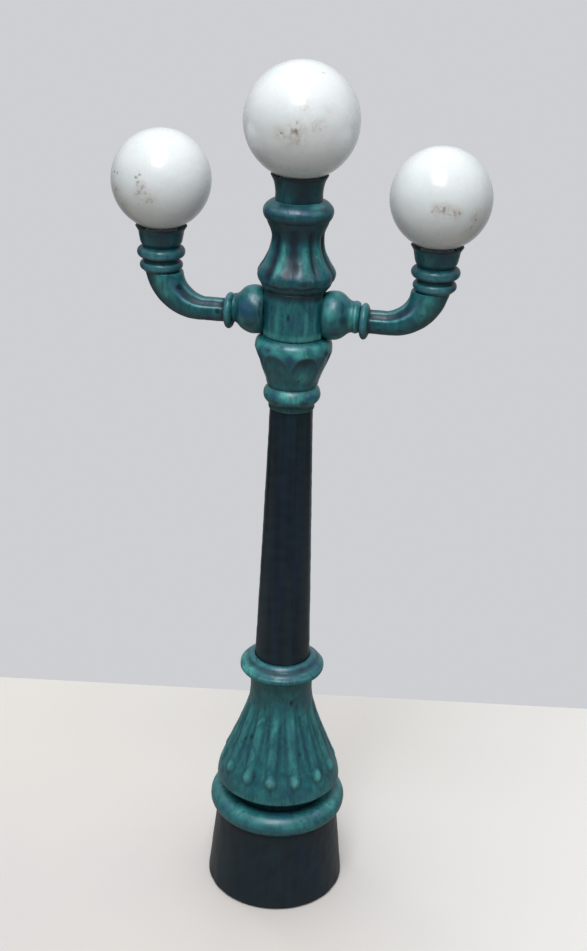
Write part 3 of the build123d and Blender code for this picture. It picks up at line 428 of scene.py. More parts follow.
def daubs(rows, marks):
    """Patches on a turned piece: angle from the front, height, half width and half height in mm, strength."""
    angle = np.degrees(np.arctan2(rows[..., 0], -rows[..., 1]))
    radius = off_axis(rows)
    value = np.zeros(angle.shape)
    for mark_angle, height, wide, tall, strength in marks:
        off = (angle - mark_angle + 180) % 360 - 180
        away = np.hypot(np.radians(off) * radius / wide, (rows[..., 2] - height) / tall)
        value = np.maximum(value, strength * (1 - smooth(0.30, 1.20, away)))
    return value


def coat(rows, most_stained=1.0, patches=daubs, **layers):
    """Named values for the verdigris finish. A layer is a value, a list of marks, or both to be added up."""
    masks = {}
    for name, layer in layers.items():
        if not isinstance(layer, tuple):
            layer = (0, layer) if isinstance(layer, list) else (layer, [])
        value, marks = layer
        masks[name] = np.clip(value + patches(rows, marks), 0, most_stained if name == "stained" else 1)
    return masks


# ---- Meshes ----

def blurred(grid, passes):
    """The grid smoothed along both ways; it is closed round each row."""
    for _ in range(passes):
        grid = (np.roll(grid, 1, 1) + 2 * grid + np.roll(grid, -1, 1)) / 4
        padded = np.concatenate([grid[:1], grid, grid[-1:]])
        grid = (padded[:-2] + 2 * padded[1:-1] + padded[2:]) / 4
    return grid


def grid_mesh(name, skin, outward, core, wrap, masks):
    """A mesh of rings. skin: rows of points in mm; core: rows of the hidden inside; wrap joins last to first.
    masks holds named values for the finish; how far each point stands proud or lies hollow is worked out."""
    sunk = ((skin - blurred(skin, 26)) * outward).sum(-1)
    values = {"proud": np.clip((sunk - 0.05) / 0.30, 0, 1), "hollow": np.clip((-sunk - 0.06) / 0.42, 0, 1)}
    values.update(masks)
    rows = np.concatenate([skin, core]) if len(core) else skin
    count, around = rows.shape[:2]
    index = np.arange(count * around).reshape(count, around)
    upper = np.roll(index, -1, 0) if wrap else index[1:]
    lower = index if wrap else index[:-1]
    faces = np.stack([lower, np.roll(lower, -1, 1), np.roll(upper, -1, 1), upper], -1).reshape(-1, 4)
    mesh = bpy.data.meshes.new(name)
    mesh.from_pydata((rows.reshape(-1, 3) * MM).tolist(), [], faces.tolist())
    for key, value in values.items():
        full = np.zeros((count, around))
        full[:len(skin)] = value
        mesh.attributes.new(key, "FLOAT", "POINT").data.foreach_set("value", full.ravel())
    bm = bmesh.new()
    bm.from_mesh(mesh)
    bmesh.ops.remove_doubles(bm, verts=bm.verts, dist=2e-7)
    bmesh.ops.recalc_face_normals(bm, faces=bm.faces)
    bm.to_mesh(mesh)
    bm.free()
    mesh.shade_smooth()
    return mesh


def added(data):
    """An object in the scene for a mesh, curve, lamp or camera, under the same name."""
    thing = bpy.data.objects.new(data.name, data)
    bpy.context.scene.collection.objects.link(thing)
    return thing


def place(mesh, node, slot="verdigris_paint", body="post", material=None):
    """Put a mesh into the scene in place of a CAD node, with its slot's material or one of its own."""
    piece = added(mesh)
    mesh.materials.append(material or FINISHES[slot])
    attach(piece, body)
    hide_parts(node)


def spin(outline, centre, ring, axis):
    """Rows of points: an outline turned about a line through centre, with one point for each of ring."""
    outline = np.asarray(outline, float)
    return centre + outline[:, None, :1] * ring + outline[:, None, 1:] * axis


def facing(outline, ring, axis):
    """Which way each point that spin gives faces."""
    slope = np.gradient(outline, axis=0)
    slope /= np.maximum(np.linalg.norm(slope, axis=1, keepdims=True), 1e-9)
    return slope[:, None, 1:] * ring - slope[:, None, :1] * axis


def turned(node, skin, core, around, relief=None, masks=None, seed=1, swell=0.0, wrap=True,
           slot="verdigris_paint", body="post", material=None):
    """A piece turned about the upright line in the middle of its node's box. relief(angle, height, radius)
    gives mm; masks(angle, height, up, rows) gets how far each point faces up, and the points. Angles are in
    degrees from the front, growing towards +X."""
    low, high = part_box(node)
    middle = ((low + high) / 2) / MM
    centre = np.array([middle.x, middle.y, low.z / MM])
    angle = np.linspace(-180, 180, around, endpoint=False)
    ring = np.stack([np.sin(np.radians(angle)), -np.cos(np.radians(angle)), np.zeros(around)], -1)
    up = np.array([0, 0, 1.0])
    rows, outward = spin(skin, centre, ring, up), facing(skin, ring, up)
    raised = unevenness(rows, swell, seed)
    if relief:
        raised = raised + relief(angle[None, :], skin[:, 1:], skin[:, :1])
    rows = rows + outward * raised[..., None]
    found = masks(angle[None, :], skin[:, 1:], outward[..., 2], rows) if masks else {}
    inner = spin(core, centre, ring, up) if core else []
    place(grid_mesh(node + "_cast", rows, outward, inner, wrap, found), node, slot, body, material)


# ---- Plinth, base ring and shaft ----

def build_plinth():
    rim, top = measure("plinth")
    neck = rim * 0.873      # it tapers upwards
    wall, roof = 2.6, 4.5
    skin = joined(line([(rim - wall, 0), (rim - 0.5, 0), (rim, 0.5), (rim, 1.0), (rim - 0.5, 4.6),
                        (neck + 0.15, top - 0.4), (neck - 0.3, top), (neck - 3, top)], 0.8))
    core = [(ROD_BORE, top), (ROD_BORE, top - roof), (neck - wall - 0.4, top - roof)]
    turned("plinth", skin, core, 160, seed=3, swell=0.10, slot="dark_paint")


def build_base_ring():
    outer, height = measure("base_ring")
    round_r, wider, floor = 5.9, 1.10, 8.0
    middle_r, middle_z = outer - round_r * wider, height - round_r
    drop = math.degrees(math.asin(middle_z / round_r))
    inner = math.degrees(math.asin((floor - middle_z) / round_r))
    roll = arc((0, middle_z), round_r, -drop, 180 - inner) * (wider, 1) + (middle_r, 0)
    skin = joined(line([(12, 0), (middle_r + 2, 0)], 2), roll, line([roll[-1], (ROD_BORE, floor)], 1.0))

    def masks(angle, z, up, rows):
        radius = off_axis(rows)
        # Painted highlight: the crown of the ring is painted lighter where it faces up; the lighter patches
        # are partly scuffs and partly painted highlight.
        crown = smooth(0.15, 0.7, up) * smooth(7.5, 8.6, z) * smooth(middle_r - 2.5, middle_r + 1.0, radius)
        scuffed_and_lit_patches = [(-29, 53, 6, 1.5, 0.5), (67, 52.5, 6, 2, 0.6), (25, 50, 9, 1.2, 0.3)]
        return coat(
            rows,
            rubbed=np.maximum(0.20 * crown, daubs(rows, scuffed_and_lit_patches)),
            blued=[(12, 53.3, 8, 1.4, 0.6), (-44, 51.5, 5, 2.5, 0.6), (44, 52, 7, 2, 0.5),
                   (-10, 47.5, 10, 1.5, 0.5)],
            paled=[(12, 52.3, 5, 0.8, 0.4), (48, 52.8, 3, 0.8, 0.3)],
            # Painted shade on the inner side of the ring, under the bell, and along its foot on the plinth.
            stained=np.maximum(0.9 * (1 - smooth(middle_r - 4.6, middle_r - 2.2, radius)),
                               0.35 * (1 - smooth(0.6, 3.5, z))))

    turned("base_ring", skin, [(ROD_BORE, 0)], 200, masks=masks, seed=11, swell=0.10)


def build_shaft():
    foot_r, height = measure("shaft")
    skin = line([(foot_r, 0), (foot_r * 0.7271, height)], 1.6)
    turned("shaft", skin, [(7.0, height), (7.0, 0)], 120, seed=5, swell=0.09, slot="dark_paint")


# ---- Fluted bell and its collar ----

RIBS = 14
DROP_Z = 21.6           # mm: middle of the drops at the ribs' feet
BELL_SKIN = [(30.9, 10.5), (30.4, 14), (28.8, 19), (24.5, 29.5), (19.7, 41.5), (16.3, 52), (15.2, 60.5)]


def rib_place(angle, r):
    """How far each angle lies from its nearest rib, in degrees and in mm, and that rib's number."""
    pitch = 360 / RIBS
    number = np.round(angle / pitch)
    off = angle - number * pitch - 1.0 + 0.7 * np.sin(number * 2.3)
    return off, np.radians(off) * r, number


def drop_reach(across, rise):
    """Distance from a drop's middle as a share of its half size; drops reach further up than down."""
    return np.hypot(across / 2.6, rise / np.where(rise < 0, 2.8, 4.3))


def bell_relief(angle, z, r):
    """Low round bars with a drop at the foot, a soft groove beside each, and a faint bead between."""
    off, across, number = rib_place(angle, r)
    wide = 2.05 + 0.22 * np.sin(number * 1.7)
    drop_z = DROP_Z + 0.35 * np.sin(number * 3.1)
    tall = 0.50 * between(z, drop_z + 0.5, drop_z + 3, 50, 57.5 + np.sin(number * 5.0))
    bar = tall * hump(across, wide, 3.2)
    behind = smooth(0.0, 0.2, -np.cos(np.radians(angle)))
    drop = 1.08 * np.clip(1 - drop_reach(across, z - drop_z) ** 2, 0, 1) ** 0.68 * (1 - 0.35 * behind)
    beside = -0.24 * hump(np.abs(across) - wide - 0.9, 0.9) * smooth(0, 0.6, tall)
    middle = np.radians(np.abs(off) - 180 / RIBS) * r
    bead = 0.28 * hump(middle, 0.75) * between(z, 24, 28, 48, 54)
    return np.maximum(bar, drop) + np.where(drop > 0.02, 0, beside) + bead


def build_bell():
    height = measure("fluted_bell")[1]
    skin = joined(line([(22.7, 0), (22.7, 10.5), (30.4, 10.5)], 1.2), curve([(30.4, 10.5)] + BELL_SKIN, 0.5),
                  line([(15.2, 60.5), (15.2, height)]))
    core = [(ROD_BORE, height), (ROD_BORE, 66.5), (11.8, 66.5), (11.8, 53.5), (25.2, 16), (20, 12.5), (20, 0)]

    def masks(angle, z, up, rows):
        across = rib_place(angle, off_axis(rows))[1]
        # Painted highlight on the tip of each drop, brightest on the drops at the front.
        drop_highlight = hump(across, 1.7) * hump(z - DROP_Z, 2.2)
        bars = hump(across, 1.9, 4) * between(z, 24, 30, 50, 57)
        edges = hump(np.abs(across) - 3.0, 0.8) * between(z, 25, 32, 50, 56)
        # Painted shade under the collar, on the foot below the bell's bottom edge, and round the lower half
        # of each drop.
        neck = 0.15 * between(z, 54, 60, 66, 70) + (1 - smooth(10.6, 11.4, z))
        shade = 0.42 * hump(drop_reach(across, z - DROP_Z) - 1.3, 0.25) * (z < 23.5)
        return coat(
            rows, 0.92,
            rubbed=(0.12 + 0.85 * drop_highlight + 0.34 * bars,
                    [(30, 101, 1.3, 8, 0.4), (1, 100, 1.5, 9, 0.3), (53, 72.5, 1.8, 2.6, 0.7),
                     (-27, 96, 1.2, 6, 0.3)]),
            blued=[(-14, 72, 3, 3, 0.5), (10, 88, 2, 12, 0.45), (17, 67, 5, 3, 0.4), (28, 92, 2, 12, 0.5),
                   (-60, 66, 5, 4, 0.4), (1, 84, 1.5, 14, 0.3), (48, 88, 2.5, 10, 0.5)],
            paled=0.45 * drop_highlight * hump(angle, 35),
            stained=(0.6 * neck + 0.22 * edges + shade,
                     [(29, 110.5, 1.3, 2.0, 0.8), (40, 108, 0.8, 2.0, 0.4), (-34, 90.5, 1.1, 1.2, 0.7),
                      (-42, 88, 0.8, 0.9, 0.35), (-17, 74, 1.5, 2.0, 0.5), (-62, 67, 2.0, 3.0, 0.4)]))

    turned("fluted_bell", skin, core, RIBS * 38, bell_relief, masks, seed=7, swell=0.07)


def build_collar():
    skin = joined(line([(12, 0), (19.6, 0)], 1.5), arc((18.6, 1.9), 2.05, -75, 40, 0.35),
                  curve([(20.1, 3.2), (18.9, 4.55), (17.4, 5.35), (16.7, 5.75), (16.3, 6.3), (15.6, 7.1),
                         (14.7, 7.75), (13.6, 8.0)], 0.35), soften=1)

    def masks(angle, z, up, rows):
        radius = off_axis(rows)
        # Painted highlight on the rounded brow where it faces up and on the bead next to the shaft.
        ridge = hump(radius - 15.5, 0.8) * smooth(5.5, 6.5, z)
        brow_highlight = smooth(17.2, 18.8, radius) * smooth(0.1, 0.6, up) * smooth(1.5, 3.0, z)
        return coat(
            rows, 0.9,
            rubbed=(0.30 * ridge + 0.28 * brow_highlight,
                    [(-50, 126, 6, 2.5, 0.8), (-85, 127, 6, 3, 0.4), (8, 126, 5, 1.0, 0.4)]),
            blued=(0.20 * ridge,
                   [(22, 127.2, 8, 1.6, 0.6), (78, 128, 7, 3, 0.6), (-15, 127, 6, 1.5, 0.3),
                    (41, 129, 3, 1.5, 0.4)]),
            paled=[(26, 126.6, 4, 0.8, 0.6), (2, 126.4, 3, 0.7, 0.5), (5, 129.8, 7, 0.6, 0.5)],
            # Painted shade on the underside that faces down; also darker in the valley between the round edge
            # and the bead.
            stained=(0.45 * (1 - smooth(-0.6, -0.2, up)) + 0.30 * hump(radius - 17.0, 0.9),
                     [(41, 128.9, 4, 1.4, 0.35), (-2, 128.4, 4, 0.8, 0.5), (-52, 128.2, 3, 1, 0.35)]))

    core = [(13.5, 3.2), (ROD_BORE, 3.2), (ROD_BORE, 0)]
    turned("bell_collar", skin, core, 220, masks=masks, seed=13, swell=0.09)


# ---- Bead, petal capital and hub ----

def build_bead():
    height = measure("capital_bead")[1]
    skin = joined(line([(9.9, 0), (10.6, 0), (10.6, 2.4)], 0.4),
                  curve([(10.6, 2.4), (11.9, 3.6), (12.85, 5.0), (13.1, 6.5), (12.85, 8.1), (12.2, 9.4),
                         (11.3, 10.4)], 0.4), line([(11.3, 10.4), (11.2, height)], 0.4), soften=1)

    def masks(angle, z, up, rows):
        return coat(
            rows, 0.85,
            # Painted highlight on the upper half where it faces up.
            rubbed=(0.55 * smooth(4.2, 7.0, z) * smooth(-0.1, 0.6, up),
                    [(9, 268.4, 6, 3.0, 1.0), (-12, 269.6, 4, 1.8, 0.5)]),
            blued=[(-32, 269, 3.5, 2.5, 0.9), (48, 268.6, 3.5, 2.5, 0.9), (80, 267, 4, 3, 0.4),
                   (-75, 267, 4, 3, 0.4)],
            paled=[(12, 269.5, 3, 0.8, 0.35), (44, 269.4, 1.5, 1.0, 0.4)],
            # Painted shade on the lower part, under the bulge.
            stained=(0.45 * (1 - smooth(2.4, 5.0, z)), [(36, 265.6, 3, 1.5, 0.6), (-30, 266, 4, 1.5, 0.5)]))

    core = [(ROD_BORE, height), (ROD_BORE, 2.7), (9.9, 2.7)]
    turned("capital_bead", skin, core, 150, masks=masks, seed=17, swell=0.09)


PETALS = 7
PETAL_TURN = 3.5        # degrees: the casting sits a little round from square
CAPITAL_SKIN = [(11.3, 0), (13.2, 5), (15.1, 9.2), (16.6, 13.4), (17.45, 17.5), (16.9, 21.2), (14.3, 23.6)]


def petal_edge(angle, z, r):
    """Distance outside an arched panel's outline and across its middle, in mm, and the panel's number."""
    pitch = 360 / PETALS
    number = np.floor((angle - PETAL_TURN) / pitch)
    across = np.radians((angle - PETAL_TURN) - (number + 0.5) * pitch) * r
    foot, half, spring = 4.3, 6.0, 11.6
    flank = np.abs(across) - (foot + (half - foot) * smooth(0, spring, z))
    arch = np.hypot(across, np.maximum(z - spring, 0)) - half
    return np.maximum(np.where(z > spring, arch, flank), 1.5 - z), across, number


def capital_relief(angle, z, r):
    """Seven arched panels, sunk deepest under their arch, between rounded ridges."""
    edge, across, number = petal_edge(angle, z, r)
    sunk = 1 - smooth(-1.9, 0.35, edge)
    deep = 0.35 + (0.75 + 0.3 * np.sin(number * 2.0 + 1)) * smooth(4, 16, z)
    scoop = 0.35 * smooth(9, 15, z) * hump(across, 2.6) * hump(z - 14, 2.5)
    return -deep * sunk - scoop + 0.10 * hump(edge - 0.8, 0.6) * smooth(0.5, 3, z)


def build_capital():
    skin = joined(curve(CAPITAL_SKIN, 0.33), soften=1)

    def masks(angle, z, up, rows):
        edge, across, number = petal_edge(angle, z, off_axis(rows))
        # Painted highlight on the shoulder where it faces up and on the lower part of each panel.
        shoulder_highlight = between(z, 15.5, 18.0, 22.0, 23.3) * smooth(-0.5, 0.3, up)
        inside = hump(edge + 0.5, 0.55) * smooth(6, 12, z)
        # Painted shade at the top of each panel, under the shoulder.
        panel_top_shade = hump(across, 3.0) * hump(z - 14.0, 2.2) * (0.5 + 0.5 * np.sin(number * 2.0 + 1.4))
        low_light = hump(across, 2.6) * hump(z - 7.0, 2.6) * (0.45 + 0.4 * np.sin(number * 2.0 + 1.2))
        ridge = (edge > 0.1) * between(z, 6, 10, 16, 19.5)
        # Painted shade at both ends, where the capital meets the bead and the hub.
        ends = 0.35 * smooth(22.9, 23.5, z) + 0.35 * (1 - smooth(0.3, 1.6, z))
        return coat(
            rows, 0.88,
            rubbed=(0.62 * shoulder_highlight + 0.75 * low_light,
                    [(27, 290.2, 5.5, 1.8, 1.0), (-24, 291.5, 4, 1.6, 0.6), (70, 292, 4, 2.5, 0.6),
                     (-60, 291, 4, 2, 0.5)]),
            blued=(0.45 * ridge, [(3, 288, 2.0, 3.0, 0.9), (56, 291.5, 3, 2.0, 0.6),
                                  (-32, 291.5, 3, 2.0, 0.7), (-12, 292.5, 3, 1.5, 0.6)]),
            paled=[(6, 293, 3.5, 1.0, 0.5), (-34, 293, 3, 1.0, 0.4), (20, 292.6, 4, 0.8, 0.4)],
            stained=(0.50 * inside + 0.75 * panel_top_shade + ends,
                     [(65, 289.5, 2, 1.4, 0.7), (-31, 291.2, 0.9, 0.8, 0.6), (-10, 293.4, 1.2, 0.6, 0.6)]))

    turned("petal_capital", skin, [(ROD_BORE, 23.6), (ROD_BORE, 0)], PETALS * 50, capital_relief, masks,
           seed=19, swell=0.07)


def build_hub():
    flat, height = measure("arm_hub")
    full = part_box("arm_hub")[1].y / MM
    skin = joined(line([(full - 3, 0), (full - 0.5, 0), (full, 0.5), (full, height - 4.0)], 0.6),
                  curve([(full, height - 4.0), (full - 0.12, height - 2.0), (13.9, height),
                         (full - 3, height)], 0.5), soften=1)
    hollow_r = 10.8
    core = [(ROD_BORE, height), (ROD_BORE, height - 3), (hollow_r, height - 3), (hollow_r, 3), (ROD_BORE, 3),
            (ROD_BORE, 0)]

    def relief(angle, z, r):
        """The hub is cut flat where the bosses sit, with a raised lip along the cut."""
        side = np.abs(np.sin(np.radians(angle)))
        cut = np.minimum(flat / np.maximum(side, 0.05) - full, 0) * smooth(0.0, 0.05, side - 0.86)
        return (cut + 0.22 * hump(side - 0.905, 0.018)) * smooth(full - 1.2, full - 0.4, r)

    def masks(angle, z, up, rows):
        side = np.abs(np.sin(np.radians(angle)))
        # Painted highlight along the lips of the flats; a band near the foot is lighter.
        edge = 0.7 * hump(side - 0.93, 0.02) * smooth(3, 8, z)
        # Painted shadow of the vase's flare across the top of the hub.
        under = 0.85 * smooth(height - 4.5, height - 0.6, z)
        foot = 0.35 * between(z, 0.6, 1.5, 2.5, 4.0)
        return coat(
            rows, 0.9,
            rubbed=(edge + foot + 0.08,
                    [(30, 304, 1.2, 9, 0.35), (-24, 303, 1.4, 9, 0.3), (12, 301, 0.9, 8, 0.3),
                     (48, 304, 1.0, 8, 0.35), (-8, 301, 1.0, 6, 0.25), (-44, 304, 0.8, 9, 0.4)]),
            blued=[(4, 304, 4, 6, 0.35), (-45, 306, 3, 7, 0.4), (62, 306, 2, 8, 0.4)],
            # Painted shade on the flats beside the bosses, and dark spots.
            stained=(under + 0.6 * hump(side - 0.975, 0.02),
                     [(-3, 306.4, 0.9, 2.1, 0.9), (-15, 307, 0.5, 0.9, 0.6), (12, 298.5, 0.6, 0.4, 0.8),
                      (-6, 299.5, 0.5, 0.4, 0.7), (20, 300.2, 0.5, 0.3, 0.6), (53, 314, 2.5, 2.0, 0.5)]))

    turned("arm_hub", skin, core, 240, relief, masks, seed=23, swell=0.06)


# ---- Vase, cap ring and centre cup ----

VASE_SKIN = [(14.0, 0), (16.3, 2.9), (17.58, 6.4), (16.9, 8.9), (14.4, 12.9), (12.5, 17.3), (11.75, 22.6),
             (12.3, 26.6), (14.4, 31.2)]
VASE_GROOVES = (-40, 1, 41, 79, 119, 160, 199, 240, 280)   # cut by eye, so not quite even
GROOVE_HALF = (1.7, 2.2, 1.0, 1.5, 1.1, 1.8, 1.0, 1.6, 1.3)


def vase_place(angle, r):
    """For the lobe at each angle: how far out it bulges, 0 at a groove to 1, its number, the distance to the
    nearest groove in mm and that groove's half width."""
    grooves = np.array(VASE_GROOVES + (VASE_GROOVES[0] + 360,), float)
    round_to = (angle - grooves[0]) % 360 + grooves[0]
    number = np.clip(np.searchsorted(grooves, round_to, side="right") - 1, 0, len(VASE_GROOVES) - 1)
    wide = grooves[number + 1] - grooves[number]
    share = (round_to - grooves[number]) / wide
    away = np.minimum(share, 1 - share) * np.radians(wide) * r
    half = np.array(GROOVE_HALF)[(number + (share > 0.5)) % len(VASE_GROOVES)]
    return 1 - (2 * share - 1) ** 2, number, away, half


def scallop_z(crown, number):
    """Height at which each lobe ends, below the bulge."""
    return 3.5 - 0.9 * crown + 0.4 * np.sin(number * 2.7)


def vase_relief(angle, z, r):
    """Nine broad lobes between soft grooves; they fade under the top and end in scallops below the bulge."""
    crown, number, away, half = vase_place(angle, r)
    reach = between(z, 3.0, 6.5, 22.5, 29.0 + np.sin(number * 2.1))
    cut = -0.36 * hump(away, 1.3 * half)
    lobe = -0.55 * (1 - crown)
    return (cut + lobe) * reach - 0.40 * hump(z - scallop_z(crown, number), 0.9) - 0.16 * hump(z - 30.4, 0.8)


def build_vase():
    skin = joined(curve(VASE_SKIN, 0.38), soften=1)

    def masks(angle, z, up, rows):
        crown, number, away, half = vase_place(angle, 13.0)
        grooves = hump(away, half * 1.25) * between(z, 6, 11.5, 23, 29)
        shade = (0.45 * between(z, 20, 25, 28.5, 31) + 0.55 * hump(z - scallop_z(crown, number) - 0.1, 1.0)
                 + 0.4 * smooth(28.5, 30.5, z) + 0.45 * (1 - smooth(1.0, 2.5, z)) + 0.12)
        return coat(
            rows, 0.9,
            rubbed=(0.35 * between(z, 8, 11, 19, 23.5) * crown ** 2,
                    [(-19, 335, 1.4, 5, 0.8), (-23, 328, 1.8, 3.5, 0.8), (24, 333, 1.6, 5.5, 0.8),
                     (57, 333, 0.6, 4, 0.6), (47, 325, 3, 2, 0.4)]),
            blued=[(-40, 332, 2, 8, 0.8), (1, 335, 2.4, 8, 0.8), (4, 326, 4.5, 3.5, 0.8),
                   (72, 323.5, 4, 3, 0.8), (-45, 323, 5, 2, 0.7), (50, 325.5, 4, 2, 0.5),
                   (22, 337, 2, 3, 0.4), (0, 320, 9, 1.5, 0.4)],
            paled=[(-25, 325.5, 0.9, 2.0, 0.8), (5, 326.5, 3.2, 2.4, 0.65), (36, 324.8, 3.0, 1.8, 0.6),
                   (52, 333, 0.5, 0.8, 0.8), (-50, 326.5, 2.5, 2.5, 0.25)],
            stained=(0.78 * grooves + shade,
                     [(70, 322.5, 3, 2, 0.5), (-38, 325, 3, 3, 0.5), (-8, 325.5, 1.5, 2.5, 0.5),
                      (18, 322.5, 3, 1.5, 0.5), (10, 328.5, 1.2, 2.5, 0.5)]))

    turned("fluted_vase", skin, [(ROD_BORE, 31.2), (ROD_BORE, 0)], len(VASE_GROOVES) * 44, vase_relief, masks,
           seed=29, swell=0.10)


def build_cap_ring():
    skin = joined(curve([(14.4, 0), (15.1, 1.3), (15.43, 3.1), (15.2, 4.6), (14.4, 5.8), (12.9, 7.1),
                         (10.6, 8.0)], 0.38), soften=1)

    def masks(angle, z, up, rows):
        return coat(
            rows, 0.85,
            rubbed=(0.08, [(50, 355, 5, 1.2, 0.9), (10, 355.2, 7, 0.9, 0.4), (40, 352.4, 5, 0.9, 0.5),
                           (-70, 352, 4, 2, 0.4)]),
            blued=(0.20, [(-52, 352, 4, 2.2, 0.7), (5, 353.6, 9, 1.2, 0.5), (30, 351.6, 6, 1.2, 0.5),
                          (75, 352, 4, 2.5, 0.5)]),
            paled=[(-36, 352.8, 3, 0.7, 0.5), (-6, 353.1, 5, 0.8, 0.7), (20, 352.4, 4, 0.6, 0.4),
                   (38, 351.8, 3, 0.6, 0.6)],
            # Painted shade on the lower part, which faces down; the whole ring is a little darker as well.
            stained=(0.22 + 0.5 * (1 - smooth(0.6, 3.4, z)),
                     [(-20, 350.6, 8, 0.9, 0.4), (60, 353, 3, 1.2, 0.4), (-15, 354.8, 4, 0.8, 0.5)]))

    turned("vase_cap_ring", skin, [(ROD_BORE, 8.0), (ROD_BORE, 0)], 180, masks=masks, seed=31, swell=0.10)


def build_cup(node, outside, step, inside, bore, around, paint, seed, swell):
    """A flared cup, outlined up its outside, over the rim and down inside to its floor. Cups are painted
    darker than the post, as paint says, with painted shade inside and at the rim."""
    low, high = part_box(node)
    rim_r, rim_z = (high.x - low.x) / 2 / MM, (high.z - low.z) / MM
    edge, lip = (rim_r - 0.12, rim_z - 0.15), (rim_r - 0.6, rim_z)
    floor = inside[-1][1]
    skin = joined(curve(outside + [edge], step), line([edge, (rim_r - 0.1, rim_z), lip], 0.2),
                  curve([lip] + inside[:2], 0.4), line(inside[1:] + [(bore, floor)], 0.8), soften=1)

    def masks(angle, z, up, rows):
        # Painted shade at the rim and inside the cup where it faces up; the cup also turns darker and lighter
        # in turn round it.
        rim = 0.4 * smooth(rim_z - 1.6, rim_z - 0.6, z)
        inside_shade = (up > 0.15) & (z > rim_z - 8)
        uneven_round = 0.18 * np.sin(np.radians(angle * 2 + 40)) + 0.12 * np.sin(np.radians(angle * 5))
        return coat(rows, 0.95, stained=paint + rim + uneven_round + 0.5 * inside_shade)

    turned(node, skin, [(bore, 0)], around, masks=masks, seed=seed, swell=swell)


def build_top_cup():
    build_cup("top_globe_cup", [(10.42, 0), (10.45, 4.0), (11.2, 7.9)], 0.4,
              [(10.3, 8.3), (9.2, 5.6), (9.1, 3.0)], ROD_BORE, 160, 0.55, 37, 0.05)


def build_side_cup(name, side):
    build_cup("globe_cup_" + name, [(8.1, 0), (8.35, 0.5), (9.2, 1.9), (9.75, 4.2), (10.3, 7.0)], 0.35,
              [(9.2, 6.6), (7.9, 4.4), (7.7, 1.6)], NIPPLE_BORE, 150, 0.28, 67 + side, 0.06)


# ---- Arms ----

BOSS_Z = 305.1
ARM_Z = 303.5
ARM_TOP = 319.6
BOSS_KNOB = [(9.6, 13.0), (10.35, 14.3), (10.85, 16.4)]
BOSS_NECK = {
    "left": [(10.9, 19.2), (10.2, 21.6), (8.9, 23.6), (7.3, 25.2), (6.5, 26.4), (6.4, 27.6)],
    "right": [(10.8, 19.0), (9.9, 21.4), (8.4, 23.2), (7.3, 24.6), (6.9, 26.2), (7.3, 27.2), (7.1, 28.2),
              (6.6, 29.2)],
}


def build_boss(name, side):
    """A turned knob on the hub; the two were cast by hand, and the right one has the longer neck."""
    outline = BOSS_KNOB + BOSS_NECK[name]
    near, far = outline[0][1], outline[-1][1]
    skin = joined(line([(7.5, near), (9.5, near)], 0.8), curve(outline, 0.4), soften=1)
    around = 150
    angle = np.linspace(0, 2 * math.pi, around, endpoint=False)
    ring = np.stack([np.zeros(around), -np.sin(angle), np.cos(angle)], -1)
    out = np.array([side, 0, 0.0])
    centre = np.array([0, 0, BOSS_Z])
    rows, outward = spin(skin, centre, ring, out), facing(skin, ring, out)
    rows = rows + outward * unevenness(rows, 0.12, 41 + side)[..., None]
    # Painted highlight on the faces that turn up and towards the front, and painted shade at the end against
    # the hub.
    top = smooth(0.35, 0.95, outward[..., 2] - 0.35 * outward[..., 1])
    hub_end_shade = 1 - smooth(13.2, 14.6, np.abs(rows[..., 0]))
    masks = coat(
        rows, 0.9, spots,
        rubbed=(0.15 * top, [((17.5, -8, 308), (3, 5, 4), 0.7), ((25.8, -4, 305), (1.8, 6, 6), 0.7),
                             ((-22, -7, 302.5), (2, 5, 3), 0.3), ((27.4, -5, 305), (0.7, 6, 7), 0.9)]),
        blued=[((-20, -8, 307), (5, 7, 6), 0.9), ((21.5, -6, 311), (3, 6, 3), 0.7),
               ((-16, -8, 311), (3, 6, 3), 0.4), ((18, -10, 300), (3, 5, 3), 0.4)],
        paled=[((-18.6, -6.5, 313), (2.0, 4, 1.4), 0.55), ((17.5, -6, 313.2), (2.2, 4, 1.4), 0.55)],
        stained=(0.5 * hub_end_shade, [((22.3, -8.7, 305.8), (1.8, 4, 2.4), 0.6), ((22, -7, 310), (1.0, 4, 3), 0.5),
                              ((-19, -10, 301), (3.0, 4, 2.4), 0.5), ((-14.5, -9, 308), (0.8, 4, 5), 0.6),
                              ((-24.5, -6, 306), (0.8, 5, 5), 0.4), ((20, -9, 299), (3, 4, 1.4), 0.5)]))
    node = "arm_boss_" + name
    core = spin([(3.8, far), (3.8, near)], centre, ring, out)
    place(grid_mesh(node + "_cast", rows, outward, core, True, masks), node)


def arm_path():
    """Stations along the right arm: place, heading in degrees and radius, from the flange to the collar."""
    bend_x, bend_r, bend_to = 41.0, 18.5, 72.0
    start_r, end_r = 5.3, 8.1
    stations = [(x, ARM_Z, 0.0, start_r) for x in np.arange(27.2, bend_x, 0.4)]
    for heading in np.arange(0, bend_to + 0.1, 1.2):
        t = math.radians(heading)
        grown = start_r + (end_r - start_r) * heading / bend_to
        stations.append((bend_x + bend_r * math.sin(t), ARM_Z + bend_r * (1 - math.cos(t)), heading, grown))
    x, z, heading, radius = stations[-1]
    t = math.radians(heading)
    stations += [(x + d * math.cos(t), z + d * math.sin(t), heading, radius)
                 for d in np.arange(0.4, 6.8, 0.4)]
    return np.array(stations)


